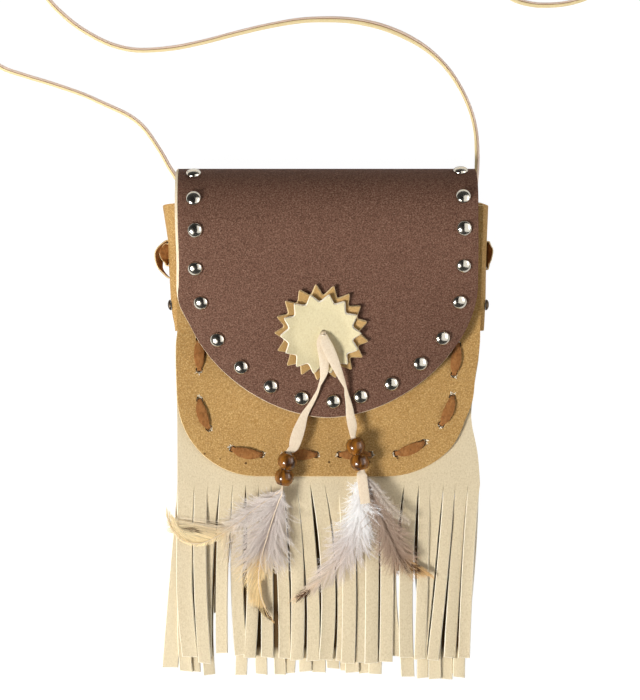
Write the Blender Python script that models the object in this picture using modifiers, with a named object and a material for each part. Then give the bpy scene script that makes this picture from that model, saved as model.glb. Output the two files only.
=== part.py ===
"""Shoulder bag of thin leather, lying on its back: flap with domed studs, rosette and feather tassels,
laced front panel, side gussets, two layers of cut fringe and a long thin strap.

The bag's width runs along X, its top is towards +Y and its front faces +Z. Every sheet is cut and
punched flat, as a maker would do it, and then bent to its place. Lengths are in metres.
"""

import math

import bmesh
import bpy
from mathutils import Matrix, Vector

MM = 0.001

# Sheet stock and fits
SHEET = 1.0 * MM
FRINGE_SHEET = 0.8 * MM
LACE_SHEET = 0.8 * MM
GAP = 0.3 * MM
SLOPE_GAP = 0.1 * MM
MARGIN = 5.0 * MM
CUTTER_HEIGHT = 4.0 * MM
PROBE_STEP = 0.05 * MM

# Front and back panels
PANEL_LEFT = 75.0 * MM
PANEL_RIGHT = 73.3 * MM
PANEL_FLARE = 2.4 * MM
FLARE_LENGTH = 25.0 * MM
PANEL_BOTTOM = -78.0 * MM
CORNER_LEFT = 40.0 * MM
CORNER_RIGHT = 45.0 * MM
MOUTH_Y = 55.5 * MM
MOUTH_DEPTH = 27.0 * MM
MOUTH_RISE_POWER = 1.1
BULGE = 11.0 * MM
BULGE_Y = -2.0 * MM
BULGE_INSET = 15.0 * MM
BULGE_SPREAD = 47.7 * MM
BACK_MARGIN = 1.0 * MM
RAMP_TOP = -3.0 * MM
RAMP_LENGTH = 9.0 * MM

# Running lace and its holes
BAND_TOP = -15.0 * MM
STITCH_INSET = 11.0 * MM
STITCH_SPAN = 15.2 * MM
STITCH_WIDTH = 4.8 * MM
LACE_NECK = 2.4 * MM
LACE_TURN = 1.1 * MM
LACE_TAIL = 5.0 * MM
HOLE_RADIUS = 2.1 * MM
HOLE_SIDES = 6
THROUGH_Y = BAND_TOP
FLOOR_CLEARANCE = 0.05 * MM
STITCH_SHARES = (0.046, 0.127, 0.208, 0.296, 0.386, 0.466, 0.545, 0.627, 0.708, 0.785, 0.866, 0.947)

# Flap and the roll over the top
HINGE_Y = 75.5 * MM
HINGE_Z = 6.7 * MM
HINGE_GAP = 0.3 * MM
HINGE_AXIS_OUT = 0.3 * MM
ROLL_CLEARANCE = 6.1 * MM
ROLL_SLOPE = 0.30
TIP_SLOPE = 0.176
FLAP_TIP = -48.7 * MM
FLAP_SHOULDER = 16.0 * MM
FLAP_LEFT = 72.9 * MM
FLAP_RIGHT = 73.5 * MM
FLAP_SKEW = 1.6 * MM
FLAP_EXPONENT = 1.8
FLAP_DROOP = 9.0 * MM
DROOP_LENGTH = 45.0 * MM
DROOP_EXPONENT = 2.6
CURL_LENGTH = 12.0 * MM
LACE_HOLE = (-2.0 * MM, -4.7 * MM)
LACE_HOLE_RADIUS = 2.6 * MM

# Studs
STUD_RADIUS = 3.5 * MM
STUD_HEIGHT = 2.2 * MM
STUD_RIM = 0.5 * MM
STUD_INSET = 8.2 * MM
STUD_SHARES = (0.034, 0.092, 0.140, 0.194, 0.245, 0.306, 0.359, 0.411, 0.460, 0.507,
               0.548, 0.597, 0.649, 0.699, 0.756, 0.809, 0.864, 0.912, 0.974)
GUSSET_STUD_RADIUS = 2.6 * MM
GUSSET_STUD_HEIGHT = 1.5 * MM
GUSSET_STUD_GAP = 0.35 * MM

# Gussets
GUSSET_END_Y = -5.5 * MM
GUSSET_FLANGE = 4.0 * MM
GUSSET_ROOT = 74.0 * MM
WALL_OUT_LEFT = (2.9 * MM, 7.6 * MM)
WALL_OUT_RIGHT = (3.3 * MM, 5.0 * MM)
GUSSET_WALL = 31.5 * MM
LOOP_HOLES_Y = (38.9 * MM, 21.1 * MM)
LOOP_BULGE = 5.0 * MM
LOOP_WIDTH = 4.0 * MM
LOOP_SLACK = 0.5 * MM
GUSSET_STUD_Y = 7.5 * MM

# Fringe
FRINGE_LEFT = -74.5 * MM
STRAND_PITCH = 6.52 * MM
STRANDS = 23
SLIT = 0.4 * MM
CUT_LINE = -81.8 * MM
FRONT_TIPS = -169.0 * MM
BACK_TIPS = -176.5 * MM
TIP_WAVER = 1.6 * MM
SETTLE_SHARE = 0.25
STRAND_LIFT = 1.15 * MM
SWAY_POWER = 1.4
FRONT_SWAY = (1.2, 1.6, -1.0, -2.0, -0.5, -1.3, 1.5, 3.9, 3.7, 5.0, 4.5, 3.0,
              1.7, 0.5, -1.0, -0.5, -0.7, -2.0, -2.7, -5.0, -7.0, -5.5, -5.0)
BACK_SWAY = (-8.5, -7.5, -8.0, -8.5, -8.5, -5.0, -1.5, 1.8, 1.5, 1.0, 0.8, 0.8,
             0.7, -0.5, -2.5, -4.7, -6.7, -5.0, -5.4, -6.7, -7.5, -7.4, -7.4)

# Rosettes
ROSETTE_BACK = {"centre": (-3.0, -6.2), "points": 17, "outer": 23.5, "valley": 18.5, "start": 96.6}
ROSETTE_FRONT = {"centre": (-3.5, -7.7), "points": 14, "outer": 19.8, "valley": 15.8, "start": 103.0}

# Tassels
TASSEL_TAIL_WIDTH = 4.6 * MM
THREADED_WIDTH = 2.6 * MM
TASSEL_HIDDEN = 6.0 * MM
BEAD_RADIUS = 4.8 * MM
BEAD_LENGTH = 7.8 * MM
BORE_RADIUS = 2.3 * MM
QUILL_WIDTH = 0.7 * MM
VANE_SHEET = 0.5 * MM
LEFT_BEAD = (-20.2, -69.9, 12.3)
LEFT_BEAD_AXIS = (-1.5, -8.2, -0.8)
RIGHT_BEAD = (13.6, -62.5, 12.4)
RIGHT_BEAD_AXIS = (2.1, -7.9, -0.2)

# Strap
STRAP_DIAMETER = 3.2 * MM
STRAP_POINTS = 74


def smooth(value):
    """An even rise from 0 to 1."""
    t = min(1.0, max(0.0, value))
    return t * t * (3.0 - 2.0 * t)


def clear_scene():
    for thing in list(bpy.data.objects):
        bpy.data.objects.remove(thing, do_unlink=True)


def new_collection(name):
    collection = bpy.data.collections.new(name)
    bpy.context.scene.collection.children.link(collection)
    return collection


def make_material(name, colour, roughness, metallic=0.0):
    material = bpy.data.materials.new(name)
    material.use_nodes = True
    shader = material.node_tree.nodes["Principled BSDF"]
    shader.inputs["Base Color"].default_value = (*colour, 1.0)
    shader.inputs["Roughness"].default_value = roughness
    shader.inputs["Metallic"].default_value = metallic
    return material


clear_scene()
BAG = new_collection("shoulder_bag")
CUTTERS = new_collection("cutters")

BROWN = make_material("brown_leather", (0.155, 0.079, 0.061), 0.62)
TAN = make_material("tan_leather", (0.49, 0.29, 0.098), 0.66)
CREAM = make_material("cream_leather", (0.73, 0.60, 0.40), 0.72)
STAR_CREAM = make_material("rosette_cream", (0.76, 0.67, 0.40), 0.70)
RUST = make_material("rust_lace", (0.35, 0.13, 0.04), 0.6)
PALE_LACE = make_material("pale_lace", (0.84, 0.65, 0.47), 0.65)
STRAP_CREAM = make_material("strap_cream", (0.79, 0.62, 0.38), 0.6)
NICKEL = make_material("nickel", (0.72, 0.70, 0.66), 0.18, 1.0)
WOOD = make_material("lacquered_wood", (0.20, 0.065, 0.018), 0.15)
GREY_FEATHER = make_material("grey_feather", (0.52, 0.46, 0.43), 0.8)
OCHRE_FEATHER = make_material("ochre_feather", (0.60, 0.42, 0.18), 0.8)


def add_object(name, mesh, material):
    part = bpy.data.objects.new(name, mesh)
    BAG.objects.link(part)
    part.data.materials.clear()
    part.data.materials.append(material)
    return part


def hide_guide(guide):
    guide.hide_render = True
    guide.display_type = "WIRE"


def slab(name, low, high, thickness, columns, rows, material):
    """A flat piece of sheet, scored along the lines where it will bend."""
    bm = bmesh.new()
    bmesh.ops.create_cube(bm, size=1.0)
    bmesh.ops.scale(bm, vec=(high[0] - low[0], high[1] - low[1], thickness), verts=bm.verts)
    bmesh.ops.translate(bm, vec=((low[0] + high[0]) / 2, (low[1] + high[1]) / 2, 0), verts=bm.verts)
    for axis, places in ((0, columns), (1, rows)):
        for place in places:
            point = Vector((0, 0, 0))
            normal = Vector((0, 0, 0))
            point[axis] = place
            normal[axis] = 1.0
            geometry = bm.verts[:] + bm.edges[:] + bm.faces[:]
            bmesh.ops.bisect_plane(bm, geom=geometry, dist=1e-7, plane_co=point, plane_no=normal)
    mesh = bpy.data.meshes.new(name)
    bm.to_mesh(mesh)
    bm.free()
    return add_object(name, mesh, material)


def lines(first, last, count):
    """Evenly spaced scores between two edges, without the edges."""
    return [first + (last - first) * step / count for step in range(1, count)]


def prism(name, outlines):
    """A cutter with the given flat outlines."""
    curve = bpy.data.curves.new(name, "CURVE")
    curve.dimensions = "2D"
    curve.fill_mode = "BOTH"
    curve.extrude = CUTTER_HEIGHT / 2
    for outline in outlines:
        spline = curve.splines.new("POLY")
        spline.points.add(len(outline) - 1)
        for point, (x, y) in zip(spline.points, outline):
            point.co = (x, y, 0.0, 1.0)
        spline.use_cyclic_u = True
    guide = bpy.data.objects.new(name + "_outline", curve)
    CUTTERS.objects.link(guide)
    bpy.context.view_layer.update()
    mesh = bpy.data.meshes.new_from_object(guide.evaluated_get(bpy.context.evaluated_depsgraph_get()))
    bm = bmesh.new()
    bm.from_mesh(mesh)
    bmesh.ops.remove_doubles(bm, verts=bm.verts, dist=1e-6)
    bmesh.ops.recalc_face_normals(bm, faces=bm.faces)
    bm.to_mesh(mesh)
    bm.free()
    cutter = bpy.data.objects.new(name, mesh)
    cutter.matrix_world = guide.matrix_world
    CUTTERS.objects.link(cutter)
    bpy.data.objects.remove(guide, do_unlink=True)
    hide_guide(cutter)
    return cutter


def cut(part, cutter, operation):
    modifier = part.modifiers.new(cutter.name, "BOOLEAN")
    modifier.object = cutter
    modifier.operation = operation
    modifier.solver = "EXACT"


def settle(part):
    """Makes the cuts final and splits the faces, so that each stays flat when the sheet is bent."""
    bpy.context.view_layer.update()
    mesh = bpy.data.meshes.new_from_object(part.evaluated_get(bpy.context.evaluated_depsgraph_get()))
    part.modifiers.clear()
    part.data = mesh
    bm = bmesh.new()
    bm.from_mesh(mesh)
    bmesh.ops.remove_doubles(bm, verts=bm.verts, dist=1e-7)
    bmesh.ops.triangulate(bm, faces=bm.faces)
    bm.to_mesh(mesh)
    bm.free()


def bend(part, place):
    """Moves the flat sheet onto the surface that place(u, v) gives."""
    for vertex in part.data.vertices:
        u, v, w = vertex.co
        along_u = place(u + PROBE_STEP, v) - place(u - PROBE_STEP, v)
        along_v = place(u, v + PROBE_STEP) - place(u, v - PROBE_STEP)
        normal = along_u.cross(along_v).normalized()
        vertex.co = place(u, v) + normal * w
    part.data.update()


def raised(place, lift):
    """The surface that lies a fixed height over another."""

    def place_above(u, v):
        along_u = place(u + PROBE_STEP, v) - place(u - PROBE_STEP, v)
        along_v = place(u, v + PROBE_STEP) - place(u, v - PROBE_STEP)
        return place(u, v) + along_u.cross(along_v).normalized() * lift

    return place_above


def circle(centre, radius, sides, stretch=1.0):
    turns = [math.tau * (step + 0.5) / sides for step in range(sides)]
    return [(centre[0] + radius * stretch * math.cos(turn), centre[1] + radius * math.sin(turn))
            for turn in turns]


def arc(centre, radius, start, end, count):
    """Points on an arc, angles in degrees."""
    angles = [math.radians(start + (end - start) * step / count) for step in range(count + 1)]
    return [(centre[0] + radius * math.cos(angle), centre[1] + radius * math.sin(angle))
            for angle in angles]


def walk(points, share):
    """The place and the direction at a share of the way along a line of points."""
    lengths = [math.dist(a, b) for a, b in zip(points, points[1:])]
    left = share * sum(lengths)
    for (a, b), length in zip(zip(points, points[1:]), lengths):
        if left <= length:
            t = left / length
            place = tuple(p + (q - p) * t for p, q in zip(a, b))
            return place, tuple((q - p) / length for p, q in zip(a, b))
        left -= length
    return points[-1], tuple((q - p) / lengths[-1] for p, q in zip(points[-2], points[-1]))


def line_length(points):
    return sum(math.dist(a, b) for a, b in zip(points, points[1:]))


# Forms of the pouch
def right_side(y):
    """The right edge of the panels, which flares a little above the corner."""
    return PANEL_RIGHT + PANEL_FLARE * smooth((y - PANEL_BOTTOM - CORNER_RIGHT) / FLARE_LENGTH)


def panel_rim(inset, top):
    """The panels' edge, or a line inside it, from the top left round to the top right."""
    steps = 12
    left_centre = (-PANEL_LEFT + CORNER_LEFT, PANEL_BOTTOM + CORNER_LEFT)
    right_centre = (PANEL_RIGHT - CORNER_RIGHT, PANEL_BOTTOM + CORNER_RIGHT)
    rim = [(-PANEL_LEFT + inset, top)]
    rim += arc(left_centre, CORNER_LEFT - inset, 180, 270, steps)
    rim += arc(right_centre, CORNER_RIGHT - inset, 270, 360, steps)
    flare_top = right_centre[1] + FLARE_LENGTH
    rim += [(right_side(y) - inset, y) for y in lines(right_centre[1], flare_top, 4)]
    rim += [(right_side(flare_top) - inset, flare_top), (right_side(top) - inset, top)]
    return rim


def inset_at(x, y):
    """How far a place lies inside the panels' edge."""
    half, corner = (PANEL_LEFT, CORNER_LEFT) if x < 0 else (right_side(y), CORNER_RIGHT)
    across = abs(x) - (half - corner)
    down = PANEL_BOTTOM + corner - y
    outside = math.hypot(max(across, 0.0), max(down, 0.0))
    return corner - outside - min(max(across, down), 0.0)


BACK_LIFT = FLOOR_CLEARANCE + LACE_SHEET + GAP
BACK_RIM_Z = BACK_LIFT + SHEET / 2
BACK_BAND_LIFT = SHEET / 2 + GAP + FRINGE_SHEET / 2
BAND_STEP = FRINGE_SHEET + GAP
FLANGE_LIFT = SHEET + GAP + SLOPE_GAP
RIM_Z = BACK_RIM_Z + 3 * (SHEET + GAP)
OVER_LACE = SHEET / 2 + GAP + LACE_SHEET / 2
UNDER_LACE_Z = FLOOR_CLEARANCE + LACE_SHEET / 2


def rim_height(y):
    """Height of the front panel's edge: level at the bottom and rising to the mouth."""
    rise = max(0.0, (y - GUSSET_END_Y) / (MOUTH_Y - GUSSET_END_Y))
    return RIM_Z + (MOUTH_DEPTH - RIM_Z) * rise ** MOUTH_RISE_POWER


def front_place(x, y):
    """The front panel's middle surface, which swells between the laced edges."""
    swell = smooth((inset_at(x, y) - BULGE_INSET) / (PANEL_LEFT - BULGE_INSET))
    bulge = BULGE * math.exp(-((y - BULGE_Y) / BULGE_SPREAD) ** 2) * swell
    return Vector((x, y, rim_height(y) + bulge))


def back_height(y):
    """The back panel lies flat, and its lower part is a little higher, over the lace's hidden runs."""
    return SHEET / 2 + BACK_LIFT * smooth((RAMP_TOP - y) / RAMP_LENGTH)


def back_place(x, v):
    """The back panel's middle surface, with the curl up to the flap at its top."""
    start = HINGE_Y - CURL_LENGTH
    if v <= start:
        return Vector((x, v, back_height(v)))
    turn = math.pi / 2 * (v - start) / CURL_LENGTH
    depth = HINGE_Z - HINGE_GAP / 2 - SHEET / 2
    return Vector((x, start + (CURL_LENGTH - SHEET / 2) * math.sin(turn),
                   SHEET / 2 + depth * (1.0 - math.cos(turn))))


ROLL_RADIUS = MOUTH_DEPTH + ROLL_CLEARANCE - HINGE_Z
ROLL_TURN = math.pi / 2 + math.atan(ROLL_SLOPE)
ROLL_CENTRE = Vector((0.0, HINGE_Y - SHEET / 2 - ROLL_RADIUS, HINGE_Z))
ROLL_START = ROLL_CENTRE.y + ROLL_RADIUS * math.cos(ROLL_TURN)
ROLL_START_Z = ROLL_CENTRE.z + ROLL_RADIUS * math.sin(ROLL_TURN)
FLAP_END = ROLL_START + ROLL_RADIUS * ROLL_TURN - HINGE_GAP / 2
FLAP_RUN = ROLL_START - FLAP_TIP
TIP_Z = ROLL_START_Z - (TIP_SLOPE + ROLL_SLOPE) / 2 * FLAP_RUN


def flap_place(x, v):
    """The flap's middle surface. Up to the roll v is the plain Y, and past it the way round the roll."""
    if v > ROLL_START:
        turn = ROLL_TURN - (v - ROLL_START) / ROLL_RADIUS
        return Vector((x, ROLL_CENTRE.y + ROLL_RADIUS * math.cos(turn),
                       ROLL_CENTRE.z + ROLL_RADIUS * math.sin(turn)))
    run = v - FLAP_TIP
    height = TIP_Z + TIP_SLOPE * run + (ROLL_SLOPE - TIP_SLOPE) / (2 * FLAP_RUN) * run ** 2
    droop = FLAP_DROOP * smooth((ROLL_START - v) / DROOP_LENGTH) * abs(x / FLAP_RIGHT) ** DROOP_EXPONENT
    return Vector((x, v, height - droop))


def flap_rim(inset):
    """The flap's edge, or a line inside it, from the hinge at the left round to the hinge at the right."""
    steps = 28
    depth = FLAP_SHOULDER - FLAP_TIP - inset
    rim = [(-FLAP_LEFT - FLAP_SKEW + inset, FLAP_END)]
    for step in range(steps + 1):
        turn = math.pi * (1.0 + step / steps)
        half = (FLAP_LEFT if math.cos(turn) < 0 else FLAP_RIGHT) - inset
        bend_power = 2.0 / FLAP_EXPONENT
        x = math.copysign(abs(math.cos(turn)) ** bend_power * half, math.cos(turn))
        rim.append((x, FLAP_SHOULDER - abs(math.sin(turn)) ** bend_power * depth))
    return rim + [(FLAP_RIGHT - FLAP_SKEW - inset, FLAP_END)]


# Running lace: where it goes through the panels
def stitch_holes():
    """Both holes of every stitch, in order round the bag."""
    line = panel_rim(STITCH_INSET, MOUTH_Y - HOLE_RADIUS)
    half = STITCH_SPAN / 2 / line_length(line)
    return [(walk(line, share - half), walk(line, share + half)) for share in STITCH_SHARES]


HOLES = [hole[0] for pair in stitch_holes() for hole in pair]
LOWER_HOLES = [hole for hole in HOLES if hole[1] < THROUGH_Y]


# Sheets
def make_front_panel():
    top_corners = panel_rim(0.0, MOUTH_Y)
    low = (-PANEL_LEFT - MARGIN, PANEL_BOTTOM - MARGIN)
    high = (PANEL_LEFT + MARGIN, MOUTH_Y + MARGIN)
    rows = lines(low[1], GUSSET_END_Y, 6) + [GUSSET_END_Y] + lines(GUSSET_END_Y, high[1], 5)
    punches = [circle(hole, HOLE_RADIUS, HOLE_SIDES) for hole in HOLES]
    panel = slab("front_panel", low, high, SHEET, lines(low[0], high[0], 11), rows, TAN)
    cut(panel, prism("front_panel_edge", [top_corners]), "INTERSECT")
    cut(panel, prism("front_panel_punch", punches), "DIFFERENCE")
    settle(panel)
    bend(panel, front_place)


def make_back_panel():
    low = (-PANEL_LEFT - MARGIN, PANEL_BOTTOM - MARGIN)
    high = (PANEL_LEFT + MARGIN, HINGE_Y + MARGIN)
    curl = HINGE_Y - CURL_LENGTH
    ramp = lines(RAMP_TOP - RAMP_LENGTH, RAMP_TOP, 4)
    rows = [RAMP_TOP - RAMP_LENGTH] + ramp + [RAMP_TOP, curl] + lines(curl, HINGE_Y, 5)
    panel = slab("back_panel", low, high, SHEET, [], rows, BROWN)
    edge = panel_rim(BACK_MARGIN, MOUTH_Y)
    edge += [(FLAP_RIGHT - FLAP_SKEW, HINGE_Y), (-FLAP_LEFT - FLAP_SKEW, HINGE_Y)]
    cut(panel, prism("back_panel_edge", [edge]), "INTERSECT")
    punches = [circle(hole, HOLE_RADIUS, HOLE_SIDES) for hole in LOWER_HOLES]
    cut(panel, prism("back_panel_punch", punches), "DIFFERENCE")
    settle(panel)
    bend(panel, back_place)


def make_flap():
    low = (-PANEL_LEFT - MARGIN, FLAP_TIP - MARGIN)
    high = (PANEL_LEFT + MARGIN, FLAP_END + MARGIN)
    rows = lines(FLAP_TIP, ROLL_START, 8) + [ROLL_START] + lines(ROLL_START, FLAP_END, 11)
    columns = [place * MM for place in (-67, -54, -38, -20, 1, 20, 38, 54, 67)]
    flap = slab("flap", low, high, SHEET, columns, rows, BROWN)
    cut(flap, prism("flap_edge", [flap_rim(0.0)]), "INTERSECT")
    cut(flap, prism("flap_punch", [circle(LACE_HOLE, LACE_HOLE_RADIUS, 8)]), "DIFFERENCE")
    settle(flap)
    bend(flap, flap_place)


def make_rosette(name, pattern, level, material):
    """A star cut from sheet, lying on the flap or on the star below it."""
    centre = [value * MM for value in pattern["centre"]]
    outline = []
    for step in range(2 * pattern["points"]):
        angle = math.radians(pattern["start"]) + math.pi * step / pattern["points"]
        radius = pattern["outer" if step % 2 == 0 else "valley"] * MM
        outline.append((centre[0] + radius * math.cos(angle), centre[1] + radius * math.sin(angle)))
    reach = (pattern["outer"] + 2.0) * MM
    low = (centre[0] - reach, centre[1] - reach)
    high = (centre[0] + reach, centre[1] + reach)
    star = slab(name, low, high, SHEET, lines(low[0], high[0], 3), lines(low[1], high[1], 4), material)
    cut(star, prism(name + "_edge", [outline]), "INTERSECT")
    cut(star, prism(name + "_punch", [circle(LACE_HOLE, LACE_HOLE_RADIUS, 8)]), "DIFFERENCE")
    settle(star)
    bend(star, raised(flap_place, level * (SHEET + GAP)))


# Gussets
def gusset_reach(side, y):
    """How far the gusset's outer face stands out from the middle of the bag."""
    bottom, top = WALL_OUT_LEFT if side < 0 else WALL_OUT_RIGHT
    return GUSSET_ROOT + bottom + (top - bottom) * smooth((y - GUSSET_END_Y) / (MOUTH_Y - GUSSET_END_Y))


def gusset_section(side, y):
    """The middle and the half axes of the gusset's bent wall at one height of the bag."""
    front = front_place(side * GUSSET_ROOT, y).z - FLANGE_LIFT
    back = back_height(y) + SHEET + GAP
    return (front + back) / 2, gusset_reach(side, y) - SHEET / 2 - GUSSET_ROOT, (front - back) / 2


def gusset_place(side):
    def place(u, v):
        middle, out, half = gusset_section(side, v)
        if u < 0:
            x = side * (GUSSET_ROOT + u)
            return Vector((x, v, front_place(x, v).z - FLANGE_LIFT))
        if u > GUSSET_WALL:
            x = side * (GUSSET_ROOT - (u - GUSSET_WALL))
            return Vector((x, v, back_height(v) + SHEET + GAP))
        turn = math.pi * u / GUSSET_WALL
        return Vector((side * (GUSSET_ROOT + out * math.sin(turn)), v, middle + half * math.cos(turn)))

    return place


def wall_stretch(side, y):
    """How much a hole must be widened in the flat, because the wall narrows towards its lower end."""
    middle, out, half = gusset_section(side, y)
    return GUSSET_WALL / (math.pi * half)


def make_gusset(name, side):
    low = (-GUSSET_FLANGE, GUSSET_END_Y)
    high = (GUSSET_WALL + GUSSET_FLANGE, MOUTH_Y)
    columns = [0.0] + lines(0.0, GUSSET_WALL, 8) + [GUSSET_WALL]
    gusset = slab(name, low, high, SHEET, columns, lines(low[1], high[1], 6), TAN)
    punches = [circle((GUSSET_WALL / 2, y), HOLE_RADIUS, 8, wall_stretch(side, y)) for y in LOOP_HOLES_Y]
    cut(gusset, prism(name + "_punch", punches), "DIFFERENCE")
    settle(gusset)
    bend(gusset, gusset_place(side))
    turn_right_way(gusset)


def turn_right_way(part):
    """Makes every face of a closed piece face out."""
    bm = bmesh.new()
    bm.from_mesh(part.data)
    bmesh.ops.recalc_face_normals(bm, faces=bm.faces)
    bm.to_mesh(part.data)
    bm.free()


# Fringe
def strand_number(x):
    return min(STRANDS - 1, max(0, int((x - FRINGE_LEFT) / STRAND_PITCH)))


def fringe_place(level, tips, sway):
    """The band lies on the back panel, and its strands run down to the table and drift sideways."""
    rest = FRINGE_SHEET / 2 + FLOOR_CLEARANCE + level * (STRAND_LIFT + FRINGE_SHEET + GAP)

    def place(x, y):
        band = back_height(y) + BACK_BAND_LIFT + level * BAND_STEP
        if y > CUT_LINE:
            return Vector((x, y, band))
        number = strand_number(x)
        share = (CUT_LINE - y) / (CUT_LINE - tips)
        down = smooth(share / SETTLE_SHARE)
        lift = STRAND_LIFT if number % 2 else 0.0
        drift = sway[number] * MM * share ** SWAY_POWER
        waver = TIP_WAVER * math.sin(2.3 * number + level) * share
        return Vector((x + drift, y + waver, band + (rest + lift - band) * down))

    return place


def make_fringe(name, level, tips, sway):
    low = (FRINGE_LEFT, tips)
    high = (FRINGE_LEFT + STRANDS * STRAND_PITCH, BAND_TOP)
    settle_length = SETTLE_SHARE * (CUT_LINE - tips)
    rows = [CUT_LINE, CUT_LINE - settle_length / 2, CUT_LINE - settle_length]
    rows += lines(CUT_LINE - settle_length, tips, 3)
    fringe = slab(name, low, high, FRINGE_SHEET, [], rows, CREAM)
    slits = []
    for number in range(1, STRANDS):
        middle = FRINGE_LEFT + number * STRAND_PITCH
        slits.append([(middle - SLIT / 2, CUT_LINE), (middle - SLIT / 2, tips - MARGIN),
                      (middle + SLIT / 2, tips - MARGIN), (middle + SLIT / 2, CUT_LINE)])
    cut(fringe, prism(name + "_slits", slits), "DIFFERENCE")
    punches = [circle(hole, HOLE_RADIUS, HOLE_SIDES) for hole in LOWER_HOLES]
    cut(fringe, prism(name + "_punch", punches), "DIFFERENCE")
    settle(fringe)
    bend(fringe, fringe_place(level, tips, sway))


# Laces
def lace(name, places, widths, acrosses, thickness, material):
    """A flat lace along a line of places, with its own width and crosswise direction at each."""
    last = len(places) - 1
    strip = slab(name, (-0.5, 0.0), (0.5, float(last)), 1.0, [], [float(row) for row in range(1, last)], material)
    for vertex in strip.data.vertices:
        row = round(vertex.co.y)
        before = places[max(row - 1, 0)]
        after = places[min(row + 1, last)]
        across = acrosses[row].normalized()
        up = across.cross(after - before).normalized()
        vertex.co = places[row] + across * vertex.co.x * widths[row] + up * vertex.co.z * thickness
    strip.data.update()
    return strip


def make_running_lace():
    """One lace in and out of the punched holes: over the front for each stitch, under it between."""
    places = []
    widths = []
    acrosses = []

    def add(spot, place, width, direction):
        places.append(place(*spot))
        widths.append(width)
        acrosses.append(Vector((-direction[1], direction[0], 0.0)))

    over = raised(front_place, OVER_LACE)
    under_front = raised(front_place, -OVER_LACE)

    def under(x, y):
        return Vector((x, y, UNDER_LACE_Z)) if y < THROUGH_Y else under_front(x, y)

    def turn_through(hole, direction, going_up):
        """The lace's points where it passes a hole, from one side of the sheets to the other."""
        depth = (over(*hole) - under(*hole)).length
        passing = [LACE_TURN, depth - LACE_TURN] if depth > 2.5 * LACE_TURN else [depth / 2]

        def inside(down):
            return raised(front_place, OVER_LACE - down)

        stops = [(-LACE_TURN, over)] + [(0.0, inside(down)) for down in passing] + [(LACE_TURN, under)]
        if going_up:
            stops = [(-ahead, place) for ahead, place in reversed(stops)]
        for ahead, place in stops:
            spot = (hole[0] + direction[0] * ahead, hole[1] + direction[1] * ahead)
            add(spot, place, LACE_NECK, direction)

    line = panel_rim(STITCH_INSET, MOUTH_Y - HOLE_RADIUS)
    pairs = stitch_holes()
    first, heading = pairs[0][0]
    add((first[0] - heading[0] * LACE_TAIL, first[1] - heading[1] * LACE_TAIL), under, LACE_NECK, heading)
    for number, (entry, leave) in enumerate(pairs):
        turn_through(*entry, going_up=True)
        for share in (0.3, 0.5, 0.7):
            middle, heading = walk(line, STITCH_SHARES[number] + (share - 0.5) * STITCH_SPAN / line_length(line))
            add(middle, over, STITCH_WIDTH * (1.0 if share == 0.5 else 0.9), heading)
        turn_through(*leave, going_up=False)
        if number + 1 < len(pairs):
            middle, heading = walk(line, (STITCH_SHARES[number] + STITCH_SHARES[number + 1]) / 2)
            add(middle, under, LACE_NECK, heading)
    last, heading = pairs[-1][1]
    add((last[0] + heading[0] * LACE_TAIL, last[1] + heading[1] * LACE_TAIL), under, LACE_NECK, heading)
    lace("running_lace", places, widths, acrosses, LACE_SHEET, RUST)


def make_side_lace(name, side):
    """A short lace out through one hole of the gusset and back in through the other."""
    inner = SHEET + GAP + LACE_SHEET / 2 + LOOP_SLACK

    def spot(y, out):
        top_y, low_y = LOOP_HOLES_Y
        share = (y - low_y) / (top_y - low_y)
        height = gusset_section(side, low_y)[0] * (1 - share) + gusset_section(side, top_y)[0] * share
        return Vector((side * (gusset_reach(side, y) + out), y, height))

    top_y, low_y = LOOP_HOLES_Y
    middle_y = (top_y + low_y) / 2
    stops = [(top_y + 5 * MM, -inner, LACE_NECK), (top_y + LACE_TURN, -inner, LACE_NECK),
             (top_y, -SHEET, LACE_NECK), (top_y, 0.6 * MM, LACE_NECK),
             (top_y - 3.2 * MM, LOOP_BULGE * 0.7, LOOP_WIDTH), (middle_y + 2.5 * MM, LOOP_BULGE, LOOP_WIDTH),
             (middle_y - 2.5 * MM, LOOP_BULGE, LOOP_WIDTH), (low_y + 3.2 * MM, LOOP_BULGE * 0.7, LOOP_WIDTH),
             (low_y, 0.6 * MM, LACE_NECK), (low_y, -SHEET, LACE_NECK),
             (low_y - LACE_TURN, -inner, LACE_NECK), (low_y - 5 * MM, -inner, LACE_NECK)]
    places = [spot(y, out) for y, out, width in stops]
    widths = [width for y, out, width in stops]
    lace(name, places, widths, [Vector((0, 0, 1))] * len(stops), LACE_SHEET, RUST)


# Round pieces
def turned(name, profile, steps, material):
    """A turned piece from a profile of (radius, height) pairs, run from the top down its outside."""
    mesh = bpy.data.meshes.new(name)
    bm = bmesh.new()
    ring = profile[0] == profile[-1]
    points = [bm.verts.new((radius, 0.0, height)) for radius, height in (profile[:-1] if ring else profile)]
    for first, second in zip(points, points[1:] + (points[:1] if ring else [])):
        bm.edges.new((first, second))
    bm.to_mesh(mesh)
    bm.free()
    part = add_object(name, mesh, material)
    screw = part.modifiers.new("turn", "SCREW")
    screw.axis = "Z"
    screw.steps = steps
    screw.render_steps = steps
    screw.use_merge_vertices = True
    screw.merge_threshold = 0.00001
    return part


def stand_on(part, place, normal):
    part.matrix_world = Matrix.Translation(place) @ normal.to_track_quat("Z", "Y").to_matrix().to_4x4()


def stud(name, place, normal, radius, height):
    """A domed stud with a low straight rim."""
    dome = [(radius * math.sin(math.radians(angle)), STUD_RIM + (height - STUD_RIM) * math.cos(math.radians(angle)))
            for angle in (0, 35, 65, 90)]
    part = turned(name, dome + [(radius, 0.0), (0.0, 0.0)], 10, NICKEL)
    stand_on(part, place, normal)


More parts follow.
